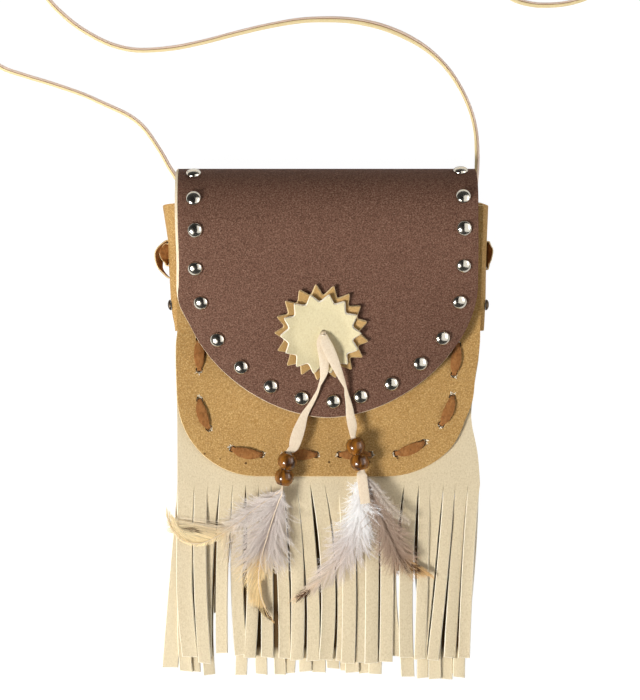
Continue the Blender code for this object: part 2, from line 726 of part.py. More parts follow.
def surface_normal(place, u, v):
    along_u = place(u + PROBE_STEP, v) - place(u - PROBE_STEP, v)
    along_v = place(u, v + PROBE_STEP) - place(u, v - PROBE_STEP)
    return along_u.cross(along_v).normalized()


def make_flap_studs():
    line = flap_rim(STUD_INSET)
    for number, share in enumerate(STUD_SHARES):
        (x, v), heading = walk(line, share)
        normal = surface_normal(flap_place, x, v)
        seat = flap_place(x, v) + normal * (SHEET / 2 + GAP)
        stud(f"flap_stud_{number + 1:02d}", seat, normal, STUD_RADIUS, STUD_HEIGHT)


def make_gusset_stud(name, side):
    place = gusset_place(side)
    normal = surface_normal(place, GUSSET_WALL / 2, GUSSET_STUD_Y) * side
    seat = place(GUSSET_WALL / 2, GUSSET_STUD_Y) + normal * (SHEET / 2 + GUSSET_STUD_GAP)
    stud(name, seat, normal, GUSSET_STUD_RADIUS, GUSSET_STUD_HEIGHT)


def bead(name, centre, axis):
    """A turned bead: round, a little flat at the ends, with a bore for the lace and the quills."""
    half = BEAD_LENGTH / 2
    profile = [(BORE_RADIUS, half)]
    for angle in (45, 22, 0, -22, -45):
        turn = math.radians(angle)
        profile.append((BEAD_RADIUS * math.cos(turn) ** 0.8, half * math.sin(turn) / math.sin(math.radians(60))))
    profile += [(BORE_RADIUS, -half), (BORE_RADIUS, half)]
    part = turned(name, profile, 12, WOOD)
    stand_on(part, centre, axis)


# Tassels
def flat_across(places):
    """Level crosswise directions along a line of places."""
    acrosses = []
    for row in range(len(places)):
        ahead = places[min(row + 1, len(places) - 1)] - places[max(row - 1, 0)]
        level = Vector((ahead.x, ahead.y, 0.0))
        acrosses.append(Vector((-level.y, level.x, 0.0)).normalized() if level.length > 1e-6 else None)
    return acrosses


def tassel_lace(name, side, waypoints, beads, tail):
    """A lace from behind the flap, out through the rosettes' hole and down through the beads."""
    x, y = LACE_HOLE
    pitch = (LACE_SHEET + GAP) / 2
    start_y = y + side * pitch
    behind = -(SHEET / 2 + GAP + LACE_SHEET / 2)
    front = 2 * (SHEET + GAP) + OVER_LACE + (LACE_SHEET + GAP if side > 0 else 0.0)
    stops = [(start_y + side * TASSEL_HIDDEN, behind), (start_y + side * LACE_TURN, behind),
             (start_y, behind + LACE_TURN), (start_y, front - LACE_TURN), (start_y - LACE_TURN, front)]
    places = [raised(flap_place, lift)(x, stop_y) for stop_y, lift in stops]
    widths = [LACE_NECK] * len(places)
    for px, py, lift, width in waypoints:
        ground = flap_place(px * MM, max(py * MM, FLAP_TIP))
        tilt = surface_normal(flap_place, px * MM, max(py * MM, FLAP_TIP)).z
        places.append(Vector((px * MM, py * MM, ground.z + lift * MM / tilt)))
        widths.append(width * MM)
    places += beads + tail
    widths += [THREADED_WIDTH] * len(beads) + [TASSEL_TAIL_WIDTH] * len(tail)
    acrosses = [Vector((1, 0, 0))] * len(stops)
    acrosses += [-across for across in flat_across(places)[len(stops):]]
    return lace(name, places, widths, acrosses, LACE_SHEET, PALE_LACE)


def feather(name, waypoints, material):
    """A thin vane along its quill, from waypoints of (x, y, z, width)."""
    places = [Vector((x * MM, y * MM, z * MM)) for x, y, z, width in waypoints]
    widths = [max(width * MM, QUILL_WIDTH) for x, y, z, width in waypoints]
    acrosses = [-across for across in flat_across(places)]
    lace(name, places, widths, acrosses, VANE_SHEET, material)


def bead_row(first, axis, count=2):
    """Centres of beads threaded one after another."""
    heading = Vector(axis).normalized()
    start = Vector(first) * MM
    return [start + heading * (BEAD_LENGTH + GAP) * number for number in range(count)], heading


def quill(bead_centre, heading, sideways, upward):
    """Waypoints of a quill from inside a bead's bore to just past its lower face."""
    across = Vector((-heading.y, heading.x, 0.0)).normalized()
    up = across.cross(heading).normalized()
    if up.z < 0:
        up = -up
    offset = across * sideways * MM + up * upward * MM
    stops = [bead_centre + heading * reach * MM + offset for reach in (0.8, 5.0)]
    return [(stop.x / MM, stop.y / MM, stop.z / MM, 0.0) for stop in stops]


def make_left_tassel():
    centres, heading = bead_row(LEFT_BEAD, LEFT_BEAD_AXIS)
    for number, centre in enumerate(centres):
        bead(f"bead_left_{number + 1}", centre, heading)
    stops = [(-2.6, -11.0, 3.9, 5.2), (-3.2, -17.0, 3.9, 5.6), (-4.3, -23.5, 3.9, 5.4), (-4.9, -27.8, 3.9, 4.4),
             (-5.6, -31.2, 2.6, 3.2), (-6.5, -36.5, 1.6, 2.4), (-8.3, -41.0, 1.4, 3.0),
             (-12.2, -48.6, 1.6, 5.6), (-14.8, -55.6, 1.7, 6.2), (-16.9, -61.5, 1.9, 5.0)]
    through = [centres[0] - heading * 5.0 * MM, centres[0] - heading * 2.0 * MM, centres[1] - heading * 0.8 * MM]
    tassel_lace("tassel_lace_left", -1, stops, through, [])
    low = centres[1]
    feather("feather_a", quill(low, heading, 0.0, 0.8) + [
        (-22.9, -86.5, 10.2, 2.0), (-24.4, -90.0, 7.6, 9.0), (-27.2, -98.0, 6.1, 17.0), (-30.0, -107.0, 6.1, 20.0),
        (-32.6, -116.0, 6.1, 17.0), (-34.2, -124.0, 6.1, 11.0), (-34.4, -134.0, 6.1, 8.0),
        (-32.6, -144.0, 6.1, 5.0), (-29.9, -151.4, 6.1, 1.2)], GREY_FEATHER)
    feather("feather_b", quill(low, heading, 0.0, -0.8) + [
        (-24.6, -85.6, 8.2, 2.0), (-28.0, -88.2, 5.9, 6.0), (-34.0, -91.5, 5.2, 11.0), (-41.3, -97.1, 5.2, 12.0),
        (-49.8, -104.0, 5.2, 7.0), (-56.8, -109.0, 5.2, 5.0), (-65.2, -110.5, 5.2, 6.0),
        (-73.7, -106.6, 5.2, 5.0), (-81.1, -97.6, 5.2, 1.2)], OCHRE_FEATHER)


def make_right_tassel():
    centres, heading = bead_row(RIGHT_BEAD, RIGHT_BEAD_AXIS)
    for number, centre in enumerate(centres):
        bead(f"bead_right_{number + 1}", centre, heading)
    stops = [(-0.6, -11.0, 5.0, 5.4), (0.8, -16.0, 5.0, 6.2), (3.2, -21.0, 5.0, 5.6), (5.4, -26.5, 4.4, 4.4),
             (6.8, -30.5, 2.9, 3.0), (8.4, -35.6, 1.5, 2.4), (9.9, -43.0, 1.4, 3.4), (11.6, -50.5, 1.6, 4.2)]
    rise = Vector((0, 0, 0.8 * MM))
    through = [centres[0] - heading * 5.2 * MM + rise, centres[0] - heading * 2.0 * MM + rise,
               centres[1] + heading * 2.0 * MM + rise, centres[1] + heading * 4.6 * MM + rise]
    tail = [Vector((16.9 * MM, -78.5 * MM, 11.2 * MM)), Vector((17.5 * MM, -84.5 * MM, 9.2 * MM)),
            Vector((18.4 * MM, -91.1 * MM, 8.0 * MM))]
    tassel_lace("tassel_lace_right", 1, stops, through, tail)
    low = centres[1]
    feather("feather_c", quill(low, heading, -1.0, -0.8) + [
        (16.0, -78.5, 9.0, 2.0), (15.9, -82.5, 7.6, 8.0), (15.6, -89.0, 6.9, 13.0), (14.9, -97.1, 6.8, 17.0),
        (12.8, -104.5, 6.8, 16.0), (9.6, -112.0, 6.8, 12.0), (5.0, -119.5, 6.8, 9.0), (-4.0, -129.5, 6.8, 5.0),
        (-15.9, -139.4, 6.8, 1.2)], GREY_FEATHER)
    feather("feather_d", quill(low, heading, 0.0, -0.8) + [
        (18.0, -78.5, 8.2, 1.0), (19.4, -82.0, 6.4, 4.0), (21.8, -88.0, 5.3, 10.0), (25.9, -97.1, 5.2, 13.0),
        (30.8, -109.0, 5.2, 11.0), (36.2, -117.5, 5.2, 8.0), (43.3, -122.5, 5.2, 5.0),
        (51.7, -126.0, 5.2, 1.2)], OCHRE_FEATHER)
    feather("feather_e", quill(low, heading, 1.0, -0.8) + [
        (19.2, -78.0, 10.4, 0.8), (21.0, -80.5, 9.0, 0.9), (24.4, -84.4, 7.7, 2.6), (29.8, -90.0, 6.8, 3.2),
        (35.8, -96.2, 6.4, 2.6), (39.8, -101.5, 6.2, 1.0)], GREY_FEATHER)


# Strap
STRAP_ROUTE_LEFT = [
    (-74.4, 7.5, 4.9), (-73.2, 13.0, 5.8), (-72.3, 20.0, 7.0), (-72.2, 39.0, 10.2), (-72.0, 50.0, 12.2),
    (-71.8, 58.0, 13.2), (-72.6, 65.0, 13.2), (-75.2, 70.5, 12.0), (-78.8, 76.0, 9.6), (-82.4, 82.4, 6.4),
    (-88.4, 91.5, 3.0), (-93.5, 97.6, 1.8), (-100.6, 102.7, 1.65), (-112.8, 108.3, 1.65)]
STRAP_ROUTE_TABLE = [
    (-123.0, 112.8), (-138.3, 118.0), (-151.5, 122.0), (-163.8, 126.6), (-173.7, 135.8), (-177.2, 147.5),
    (-176.4, 161.0), (-172.7, 173.7), (-165.0, 184.2), (-153.0, 190.7), (-133.8, 193.2), (-83.9, 193.7),
    (-24.0, 193.2), (35.9, 193.7), (95.9, 193.7), (117.0, 193.0), (130.0, 188.4), (137.3, 180.0),
    (137.3, 170.0), (131.3, 162.2), (123.3, 159.0), (116.3, 157.6), (109.1, 157.2), (102.8, 157.5),
    (93.9, 159.7), (83.9, 165.2), (70.9, 171.5), (50.9, 176.3), (1.0, 177.2), (-48.9, 177.0), (-98.9, 178.4),
    (-124.0, 179.2), (-136.0, 177.8), (-142.6, 171.7), (-142.8, 165.0), (-138.6, 158.9), (-133.3, 153.4),
    (-125.0, 146.5), (-112.8, 139.4), (-102.7, 135.8), (-92.4, 134.6), (-77.1, 135.8), (-61.9, 138.9),
    (-46.6, 142.9), (-31.5, 146.5), (-16.0, 149.3), (-4.0, 150.1), (11.3, 149.6), (26.5, 146.5),
    (39.9, 141.0), (50.9, 134.4), (60.2, 125.4), (67.4, 114.8)]
STRAP_ROUTE_RIGHT = [
    (72.2, 103.8, 1.8), (74.6, 93.5, 3.0), (75.0, 83.4, 6.2), (74.6, 75.5, 9.2), (73.6, 69.5, 11.6),
    (72.6, 63.0, 13.0), (72.0, 57.0, 13.0), (72.0, 50.0, 12.2), (72.2, 39.0, 10.2), (72.3, 20.0, 7.0),
    (73.2, 13.0, 5.8), (74.4, 7.5, 4.9)]


def spline_point(points, index, t):
    """A point on the smooth curve through the route's points."""
    last = len(points) - 1
    p0, p1, p2, p3 = (points[min(max(index + step, 0), last)] for step in (-1, 0, 1, 2))
    return 0.5 * (2 * p1 + (p2 - p0) * t + (2 * p0 - 5 * p1 + 4 * p2 - p3) * t ** 2
                  + (3 * p1 - p0 - 3 * p2 + p3) * t ** 3)


def strap_line():
    level = STRAP_DIAMETER / 2 + FLOOR_CLEARANCE
    route = [Vector(point) * MM for point in STRAP_ROUTE_LEFT]
    route += [Vector((x * MM, y * MM, level)) for x, y in STRAP_ROUTE_TABLE]
    route += [Vector(point) * MM for point in STRAP_ROUTE_RIGHT]
    dense = [spline_point(route, index, step / 8) for index in range(len(route) - 1) for step in range(8)]
    dense = [tuple(point) for point in dense + [route[-1]]]
    places = [Vector(walk(dense, step / (STRAP_POINTS - 1))[0]) for step in range(STRAP_POINTS)]
    for place in places:
        place.z = max(place.z, level)
    return places


def make_strap():
    curve = bpy.data.curves.new("shoulder_strap", "CURVE")
    curve.dimensions = "3D"
    curve.bevel_depth = STRAP_DIAMETER / 2
    curve.bevel_resolution = 2
    curve.use_fill_caps = True
    places = strap_line()
    spline = curve.splines.new("POLY")
    spline.points.add(len(places) - 1)
    for point, place in zip(spline.points, places):
        point.co = (*place, 1.0)
    part = bpy.data.objects.new("shoulder_strap", curve)
    BAG.objects.link(part)
    curve.materials.append(STRAP_CREAM)


def hang_from_hinge(parts):
    """The flap and all that it carries turn about an empty on the hinge line."""
    place = Vector((0.0, HINGE_Y + HINGE_AXIS_OUT, HINGE_Z))
    hinge = bpy.data.objects.new("flap_hinge", None)
    hinge.location = place
    BAG.objects.link(hinge)
    for part in parts:
        part.parent = hinge
        part.matrix_parent_inverse = Matrix.Translation(-place)


def main():
    make_back_panel()
    make_front_panel()
    for name, side in (("gusset_left", -1), ("gusset_right", 1)):
        make_gusset(name, side)
    make_fringe("fringe_back", 0, BACK_TIPS, BACK_SWAY)
    make_fringe("fringe_front", 1, FRONT_TIPS, FRONT_SWAY)
    make_running_lace()
    for name, side in (("side_lace_left", -1), ("side_lace_right", 1)):
        make_side_lace(name, side)
    for name, side in (("gusset_stud_left", -1), ("gusset_stud_right", 1)):
        make_gusset_stud(name, side)
    make_strap()
    fixed = list(BAG.objects)
    make_flap()
    make_flap_studs()
    make_rosette("rosette_back", ROSETTE_BACK, 1, TAN)
    make_rosette("rosette_front", ROSETTE_FRONT, 2, STAR_CREAM)
    make_left_tassel()
    make_right_tassel()
    hang_from_hinge([part for part in BAG.objects if part not in fixed])


main()
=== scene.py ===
import math
import random

import bpy
from mathutils import Matrix, Vector, geometry, noise


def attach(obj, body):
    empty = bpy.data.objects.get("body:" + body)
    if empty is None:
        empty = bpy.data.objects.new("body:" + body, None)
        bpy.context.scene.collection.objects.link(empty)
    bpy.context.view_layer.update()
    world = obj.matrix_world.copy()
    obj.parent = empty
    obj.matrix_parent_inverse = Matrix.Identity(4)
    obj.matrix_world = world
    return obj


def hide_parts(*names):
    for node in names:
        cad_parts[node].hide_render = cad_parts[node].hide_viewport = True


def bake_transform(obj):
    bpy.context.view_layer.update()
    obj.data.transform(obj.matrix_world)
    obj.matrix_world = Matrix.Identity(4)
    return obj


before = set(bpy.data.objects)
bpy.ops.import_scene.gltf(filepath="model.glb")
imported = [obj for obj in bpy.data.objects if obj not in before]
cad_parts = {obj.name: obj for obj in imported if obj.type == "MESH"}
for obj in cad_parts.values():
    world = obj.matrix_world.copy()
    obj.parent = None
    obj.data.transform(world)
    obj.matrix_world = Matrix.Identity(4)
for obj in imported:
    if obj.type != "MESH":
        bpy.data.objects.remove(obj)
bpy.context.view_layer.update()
MM = 0.001
SCENE = bpy.context.scene

# Camera: straight down on the bag, half a millimetre to each pixel of the table
CAMERA_PLACE = (-4.0, -15.0, 1100.0)
CAMERA_LENS = 123.75
SENSOR_WIDTH = 36.0

# Light: the sky's strength at the horizon and overhead, and what mirrors see of sky and floor
ORIGIN = (0.0, 0.0, 0.0)
WHITE = (1.0, 1.0, 1.0, 1.0)
SKY_LOW = 0.36
SKY_HIGH = 0.04
GLOSSY_SHARE = 0.25
FLOOR_SIZE = 6.0
FLOOR_GLOW = 1.1
FLOOR_GLOW_SHARE = 0.88

# How finely outlines are stepped, in the scene and in the solids that the stitches and studs follow
RIM_STEPS = 24
SOLID_RIM_STEPS = 12
FLAP_STEPS = 72
SOLID_FLAP_STEPS = 28

# Spacing of the nets that the sheets bend by, inside and along their edges
PANEL_NET = 2.6 * MM
FLAP_EDGE_NET = 1.4 * MM
FRONT_EDGE_NET = 1.5 * MM
GUSSET_NET = 2.2 * MM
ROSETTE_NET = 1.5 * MM
ROSETTE_EDGE_NET = 0.9 * MM
# In shares of the spacing: from row to row, and how clear of the edge and of the holes the net stays
ROW_SHARE = 0.87
EDGE_CLEARANCE = 0.55
HOLE_CLEARANCE = 0.6

# Sheet stock and fits, in metres, as the solids have them
SHEET = 1.0 * MM
FRINGE_SHEET = 0.8 * MM
LACE_SHEET = 0.8 * MM
GAP = 0.3 * MM
SLOPE_GAP = 0.1 * MM
FLOOR_CLEARANCE = 0.05 * MM
PROBE_STEP = 0.05 * MM

# Panels
PANEL_LEFT = 75.0 * MM
PANEL_RIGHT = 73.3 * MM
PANEL_FLARE = 2.4 * MM
FLARE_LENGTH = 25.0 * MM
PANEL_BOTTOM = -78.0 * MM
CORNER_LEFT = 40.0 * MM
CORNER_RIGHT = 45.0 * MM
MOUTH_Y = 55.5 * MM
MOUTH_DEPTH = 27.0 * MM
MOUTH_RISE_POWER = 1.1
BULGE = 11.0 * MM
BULGE_Y = -2.0 * MM
BULGE_INSET = 15.0 * MM
BULGE_SPREAD = 47.7 * MM
BACK_MARGIN = 1.0 * MM
RAMP_TOP = -3.0 * MM
RAMP_LENGTH = 9.0 * MM

# Running lace
BAND_TOP = -15.0 * MM
STITCH_INSET = 11.0 * MM
STITCH_SPAN = 15.2 * MM
STITCH_WIDTH = 5.2 * MM
LACE_NECK = 2.4 * MM
LACE_TURN = 1.1 * MM
LACE_TAIL = 5.0 * MM
HOLE_RADIUS = 2.1 * MM
PUNCH_RADIUS = 1.7 * MM
PUNCH_SLANT = 0.15 * MM
STITCH_BOW = 0.35 * MM
# Shares of the way along a stitch, and of its width there
STITCH_PROFILE = ((0.2, 0.78), (0.35, 0.95), (0.5, 1.0), (0.65, 0.95), (0.8, 0.78))
PRICK_BAND = (-73.0 * MM, -66.0 * MM)
# Where painted shade darkens the lower fringe under the upper strands, across and down
PAINTED_SHADE_X = (-70.5 * MM, 69.0 * MM)
PAINTED_SHADE_Y = (-167.0 * MM, -82.5 * MM)
STITCH_SHARES = (0.046, 0.127, 0.208, 0.296, 0.386, 0.466, 0.545, 0.627, 0.708, 0.785, 0.866, 0.947)

# Flap
HINGE_Y = 75.5 * MM
HINGE_Z = 6.7 * MM
HINGE_GAP = 0.3 * MM
ROLL_CLEARANCE = 6.1 * MM
ROLL_SLOPE = 0.30
TIP_SLOPE = 0.176
FLAP_TIP = -48.7 * MM
FLAP_SHOULDER = 16.0 * MM
FLAP_LEFT = 72.9 * MM
FLAP_RIGHT = 73.5 * MM
FLAP_SKEW = 1.6 * MM
FLAP_EXPONENT = 1.8
FLAP_DROOP = 9.0 * MM
DROOP_LENGTH = 45.0 * MM
DROOP_EXPONENT = 2.6
CURL_LENGTH = 12.0 * MM
LACE_HOLE = (-2.0 * MM, -4.7 * MM)
LACE_HOLE_RADIUS = 2.6 * MM
ROSETTE_HOLE = 1.5 * MM
LACE_EXIT = (-2.1 * MM, -6.0 * MM)

# Studs
STUD_RADIUS = 3.75 * MM
STUD_HEIGHT = 2.3 * MM
STUD_EDGE = 0.15 * MM
STUD_INSET = 8.2 * MM
STUD_SHARES = (0.034, 0.092, 0.140, 0.194, 0.245, 0.306, 0.359, 0.411, 0.460, 0.507,
               0.548, 0.597, 0.649, 0.699, 0.756, 0.809, 0.864, 0.912, 0.974)
# Small steps of single studs off their even row, across and down, in mm
STUD_NUDGES = {1: (0.0, 2.4), 2: (0.2, 0.5), 3: (0.65, -0.2), 5: (1.1, -0.4), 6: (0.4, -0.5),
               15: (0.2, -0.5), 16: (0.9, -0.4), 17: (1.3, 0.2), 18: (1.3, 0.8), 19: (1.3, 1.6)}
GUSSET_STUD_RADIUS = 2.7 * MM
GUSSET_STUD_HEIGHT = 1.6 * MM
GUSSET_STUD_GAP = 0.35 * MM

# Gussets
GUSSET_END_Y = -5.5 * MM
GUSSET_FLANGE = 4.0 * MM
GUSSET_ROOT = 74.0 * MM
# How far the walls stand out, in mm, at heights of the bag
WALL_OUT_LEFT = ((-5.5, 2.2), (-2.5, 2.5), (3.0, 3.6), (9.7, 4.2), (24.5, 4.9), (39.0, 5.2), (48.0, 6.5),
                 (55.5, 7.6))
WALL_OUT_RIGHT = ((-5.5, 3.7), (-2.5, 3.9), (9.7, 4.4), (24.5, 4.4), (39.0, 4.6), (55.5, 5.0))
# How far the sheets draw in at the right, in mm, at heights of the bag
DRAWN_IN_RIGHT = ((-81.0, 0.0), (-72.0, 0.6), (-64.0, 1.5), (-60.0, 2.4), (-55.0, 3.6), (-50.0, 4.4),
                  (-46.0, 4.5), (-43.0, 4.2), (-38.0, 3.5), (-31.0, 2.6), (-26.0, 1.8), (-19.0, 0.6),
                  (-10.0, 0.0))
PANEL_DRAWN_IN = ((-64.0, 0.0), (-56.0, 1.2), (-50.0, 1.9), (-46.0, 1.5), (-40.0, 0.8), (-31.0, 0.4),
                  (-22.0, 0.0))
# How far single stretches of the sides bow out and the top edge sinks
LEFT_BOW = 0.9 * MM
FLAP_OUT_LEFT = 0.8 * MM
FLAP_BOW_LEFT = 1.1 * MM
FLAP_OUT_RIGHT = 0.7 * MM
TOP_SINK = 0.5 * MM
GUSSET_WALL = 31.5 * MM
LOOP_HOLES_LEFT = (38.9 * MM, 21.1 * MM)
LOOP_HOLES_RIGHT = (38.4 * MM, 25.2 * MM)
INNER_LOOP_HOLES = (37.4 * MM, 27.0 * MM)
LOOP_BULGE_LEFT = 4.6 * MM
LOOP_BULGE_RIGHT = 1.1 * MM
INNER_LOOP_BULGE = 1.6 * MM
LOOP_WIDTHS = (6.0 * MM, 6.4 * MM, 4.6 * MM, 3.4 * MM)
LOOP_SLACK = 0.5 * MM
GUSSET_STUD_Y = 7.5 * MM

# Fringe: the height of the cuts' ends and of the strands' middles, and each cut's place in mm
CUT_LINE = -81.8 * MM
MIDDLE_Y = -134.5 * MM
BAND_ROWS = 12
STRAND_ROWS = 26
STRAND_COLUMNS = 6
EDGE_SLANT = 0.36 * MM
STRAND_WAVE = 0.35 * MM
STRAND_CUP = 0.28 * MM
TIP_CURL = 0.5 * MM
TIP_SLANT = 0.35 * MM
CUT_WIDTH = 0.06 * MM
FRONT_CUTS = (-74.8, -66.6, -59.9, -53.9, -47.5, -41.0, -34.8, -28.5, -22.3, -15.5, -8.9, -1.7,
              4.8, 11.9, 18.9, 25.7, 32.5, 38.1, 45.2, 51.1, 57.6, 63.5, 69.7, 75.7)
# The back sheet's cuts lie a little further left
BACK_CUTS = [x - 0.3 for x in FRONT_CUTS]
# Each strand in mm: x halfway, x at the tip, y of the tip, height, and its roll in degrees
FRONT_STRANDS = (
    (-71.6, -68.7, -168.0, 3.2, 6), (-63.5, -61.3, -171.1, 4.2, 5), (-60.6, -60.8, -167.9, 2.0, 4),
    (-53.0, -52.9, -166.1, 3.4, 14), (-45.3, -43.4, -167.2, 2.8, 5), (-37.4, -39.1, -168.6, 3.9, 0),
    (-30.4, -30.3, -168.4, 3.1, 0), (-22.1, -21.6, -168.9, 2.9, 0), (-15.1, -15.6, -169.6, 3.9, 4),
    (-7.6, -7.6, -170.1, 3.0, 5), (0.2, -1.2, -169.6, 3.7, -4), (7.6, 6.9, -170.4, 2.7, 3),
    (10.6, 9.8, -171.2, 3.9, 4), (17.8, 16.9, -170.9, 2.7, 3), (21.9, 21.5, -171.2, 3.9, -4),
    (29.4, 28.8, -170.4, 3.8, 4), (31.4, 34.7, -167.9, 2.7, 3), (38.8, 39.0, -168.3, 3.6, -5),
    (46.9, 45.7, -169.1, 3.9, 4), (49.3, 45.8, -168.9, 2.8, 3), (56.0, 52.2, -169.6, 3.9, 5),
    (62.8, 60.7, -168.5, 2.9, -6), (69.1, 67.8, -168.6, 3.6, 4))
BACK_STRANDS = (
    (-75.8, -78.9, -173.7, 0.6, 3), (-71.6, -70.8, -175.5, 1.6, 3), (-66.0, -66.5, -175.8, 0.6, 3),
    (-59.6, -59.2, -177.3, 1.0, -14), (-53.8, -53.9, -146.2, 0.6, 3), (-41.6, -43.5, -177.4, 1.6, 3),
    (-33.6, -33.3, -177.1, 0.6, 4), (-25.0, -23.9, -177.1, 1.6, -3), (-18.4, -19.8, -176.6, 0.6, 4),
    (-12.0, -11.3, -175.6, 1.6, 4), (-5.0, -4.6, -176.1, 0.6, 3), (1.5, 2.5, -174.1, 1.6, -3),
    (8.3, 9.5, -175.3, 0.6, 3), (12.8, 12.0, -176.1, 1.6, 3), (19.5, 18.5, -176.6, 0.6, 3),
    (25.0, 23.5, -176.8, 1.6, 3), (35.2, 35.2, -125.5, 0.6, 0), (38.9, 39.8, -178.2, 1.6, -4),
    (47.6, 47.2, -179.0, 0.6, 4), (53.4, 53.3, -179.3, 1.6, 3), (59.6, 59.3, -179.6, 0.6, 3),
    (65.8, 65.4, -178.5, 1.6, 3), (69.6, 64.0, -176.8, 0.6, 3))

# Sideways bows high up in single strands, in mm, by layer and number
STRAND_BOWS = {(0, 18): -1.9, (1, 0): 0.5, (1, 9): -0.5}

# Rosettes: sizes in mm, the first point's direction in degrees and how far the points lift
ROSETTE_BACK = {"centre": (-3.2, -6.2), "points": 17, "outer": 23.9, "valley": 18.5, "start": 96.6,
                "lifts": (1.1, 2.1)}
ROSETTE_FRONT = {"centre": (-3.5, -6.8), "points": 14, "outer": 20.2, "valley": 15.8, "start": 104.8,
                 "lifts": (1.7, 2.8)}

# Tassels: the beads' places and axes are in mm
TASSEL_HIDDEN = 6.0 * MM
TASSEL_TAIL_WIDTH = 4.9 * MM
THREADED_WIDTH = 2.6 * MM
BEAD_RADIUS = 4.8 * MM
BEAD_LENGTH = 7.8 * MM
BORE_RADIUS = 2.3 * MM
LEFT_BEAD = (-20.2, -69.9, 12.3)
LEFT_BEAD_AXIS = (-1.5, -8.2, -0.8)
RIGHT_BEAD = (13.6, -62.5, 12.4)
RIGHT_BEAD_AXIS = (2.1, -7.9, -0.2)

# Feathers: their lowest place, and the sizes of shafts, barbs and hairs
PLUME_FLOOR = 4.6 * MM
SHAFT_TIP_RADIUS = 0.1 * MM
LEAST_REACH = 0.25 * MM
LEAST_BARB = 0.5 * MM
BARB_SEGMENTS = 7
HAIR_PITCH = 0.36 * MM
HAIR_WIDTH = 0.075 * MM
VANE_BARB_WIDTHS = (0.26 * MM, 0.09 * MM)

# Strap: a folded lace. Its declared width is the widest, and its section is scaled by the narrow one
STRAP_NARROW = 2.5 * MM
STRAP_HEIGHT = 2.5 * MM
STRAP_LIFT = 1.65 * MM
STRAP_ROWS = 420


def smooth(value):
    """An even rise from 0 to 1."""
    t = min(1.0, max(0.0, value))
    return t * t * (3.0 - 2.0 * t)


def mix(first, second, share):
    """A value at a share of the way from the first to the second."""
    return first + (second - first) * share


def display_colour(red, green, blue):
    """A colour given as it is seen on a screen, 0 to 255, turned into linear light."""
    linear = []
    for value in (red, green, blue):
        share = value / 255.0
        linear.append(share / 12.92 if share <= 0.04045 else ((share + 0.055) / 1.055) ** 2.4)
    return (*linear, 1.0)


# Shader helpers
def add_node(tree, kind, inputs=None, **settings):
    """A node with its settings, its values and its links."""
    made = tree.nodes.new(kind)
    for key, value in settings.items():
        setattr(made, key, value)
    for key, value in (inputs or {}).items():
        if isinstance(value, bpy.types.NodeSocket):
            tree.links.new(value, made.inputs[key])
        else:
            made.inputs[key].default_value = value
    return made


def scaled(tree, value, factor):
    """The product of two values, each a number or a socket."""
    return add_node(tree, "ShaderNodeMath", {0: value, 1: factor}, operation="MULTIPLY").outputs[0]


def mapped(tree, value, low, high, start=0.0, end=1.0):
    """A value's range from low to high, moved to the range from start to end and held within it."""
    ranges = {"Value": value, "From Min": low, "From Max": high, "To Min": start, "To Max": end}
    return add_node(tree, "ShaderNodeMapRange", ranges).outputs[0]


def between(tree, value, low, high, soft):
    """1 between two heights of a value and 0 outside, with soft ends."""
    rise = mapped(tree, value, low, low + soft)
    fall = mapped(tree, value, high, high - soft)
    return scaled(tree, rise, fall)


def blend_colours(tree, share, first, second):
    """The first colour at a share of 0 and the second at 1."""
    return add_node(tree, "ShaderNodeMix", {0: share, 6: first, 7: second}, data_type="RGBA").outputs[2]


# Camera, light and floor
def make_camera():
    data = bpy.data.cameras.new("view_camera")
    data.sensor_fit = "HORIZONTAL"
    data.sensor_width = SENSOR_WIDTH
    data.lens = CAMERA_LENS
    camera = bpy.data.objects.new("view_camera", data)
    camera.location = Vector(CAMERA_PLACE) * MM
    SCENE.collection.objects.link(camera)
    SCENE.camera = camera


def softbox(name, place, aim, width, height, power, only_mirrored=False, only_matt=False):
    """An area lamp. One that is only mirrored stands for a pale card and lights nothing."""
    data = bpy.data.lights.new(name, "AREA")
    data.shape = "RECTANGLE"
    data.size = width
    data.size_y = height
    data.energy = power
    lamp = bpy.data.objects.new(name, data)
    lamp.location = place
    lamp.rotation_euler = (Vector(aim) - Vector(place)).to_track_quat("-Z", "Y").to_euler()
    lamp.visible_camera = False
    lamp.visible_diffuse = not only_mirrored
    lamp.visible_glossy = not only_matt
    SCENE.collection.objects.link(lamp)


def make_lights():
    """A hard key from the lower left, weak fills, and pale cards that only the shiny parts mirror."""
    softbox("key_softbox", (-0.95, -0.60, 0.98), ORIGIN, 0.4, 0.4, 24.0)
    softbox("top_softbox", (0.25, 0.55, 1.55), ORIGIN, 0.8, 0.8, 1.9, only_matt=True)
    softbox("right_softbox", (0.95, 0.10, 0.60), ORIGIN, 0.8, 0.5, 3.4)
    softbox("right_card", (0.34, 0.03, 0.30), (0.10, 0.03, 0.0), 0.7, 0.6, 1.35, only_mirrored=True)
    softbox("left_card", (-0.70, -0.62, 0.86), ORIGIN, 0.7, 0.7, 1.9, only_mirrored=True)


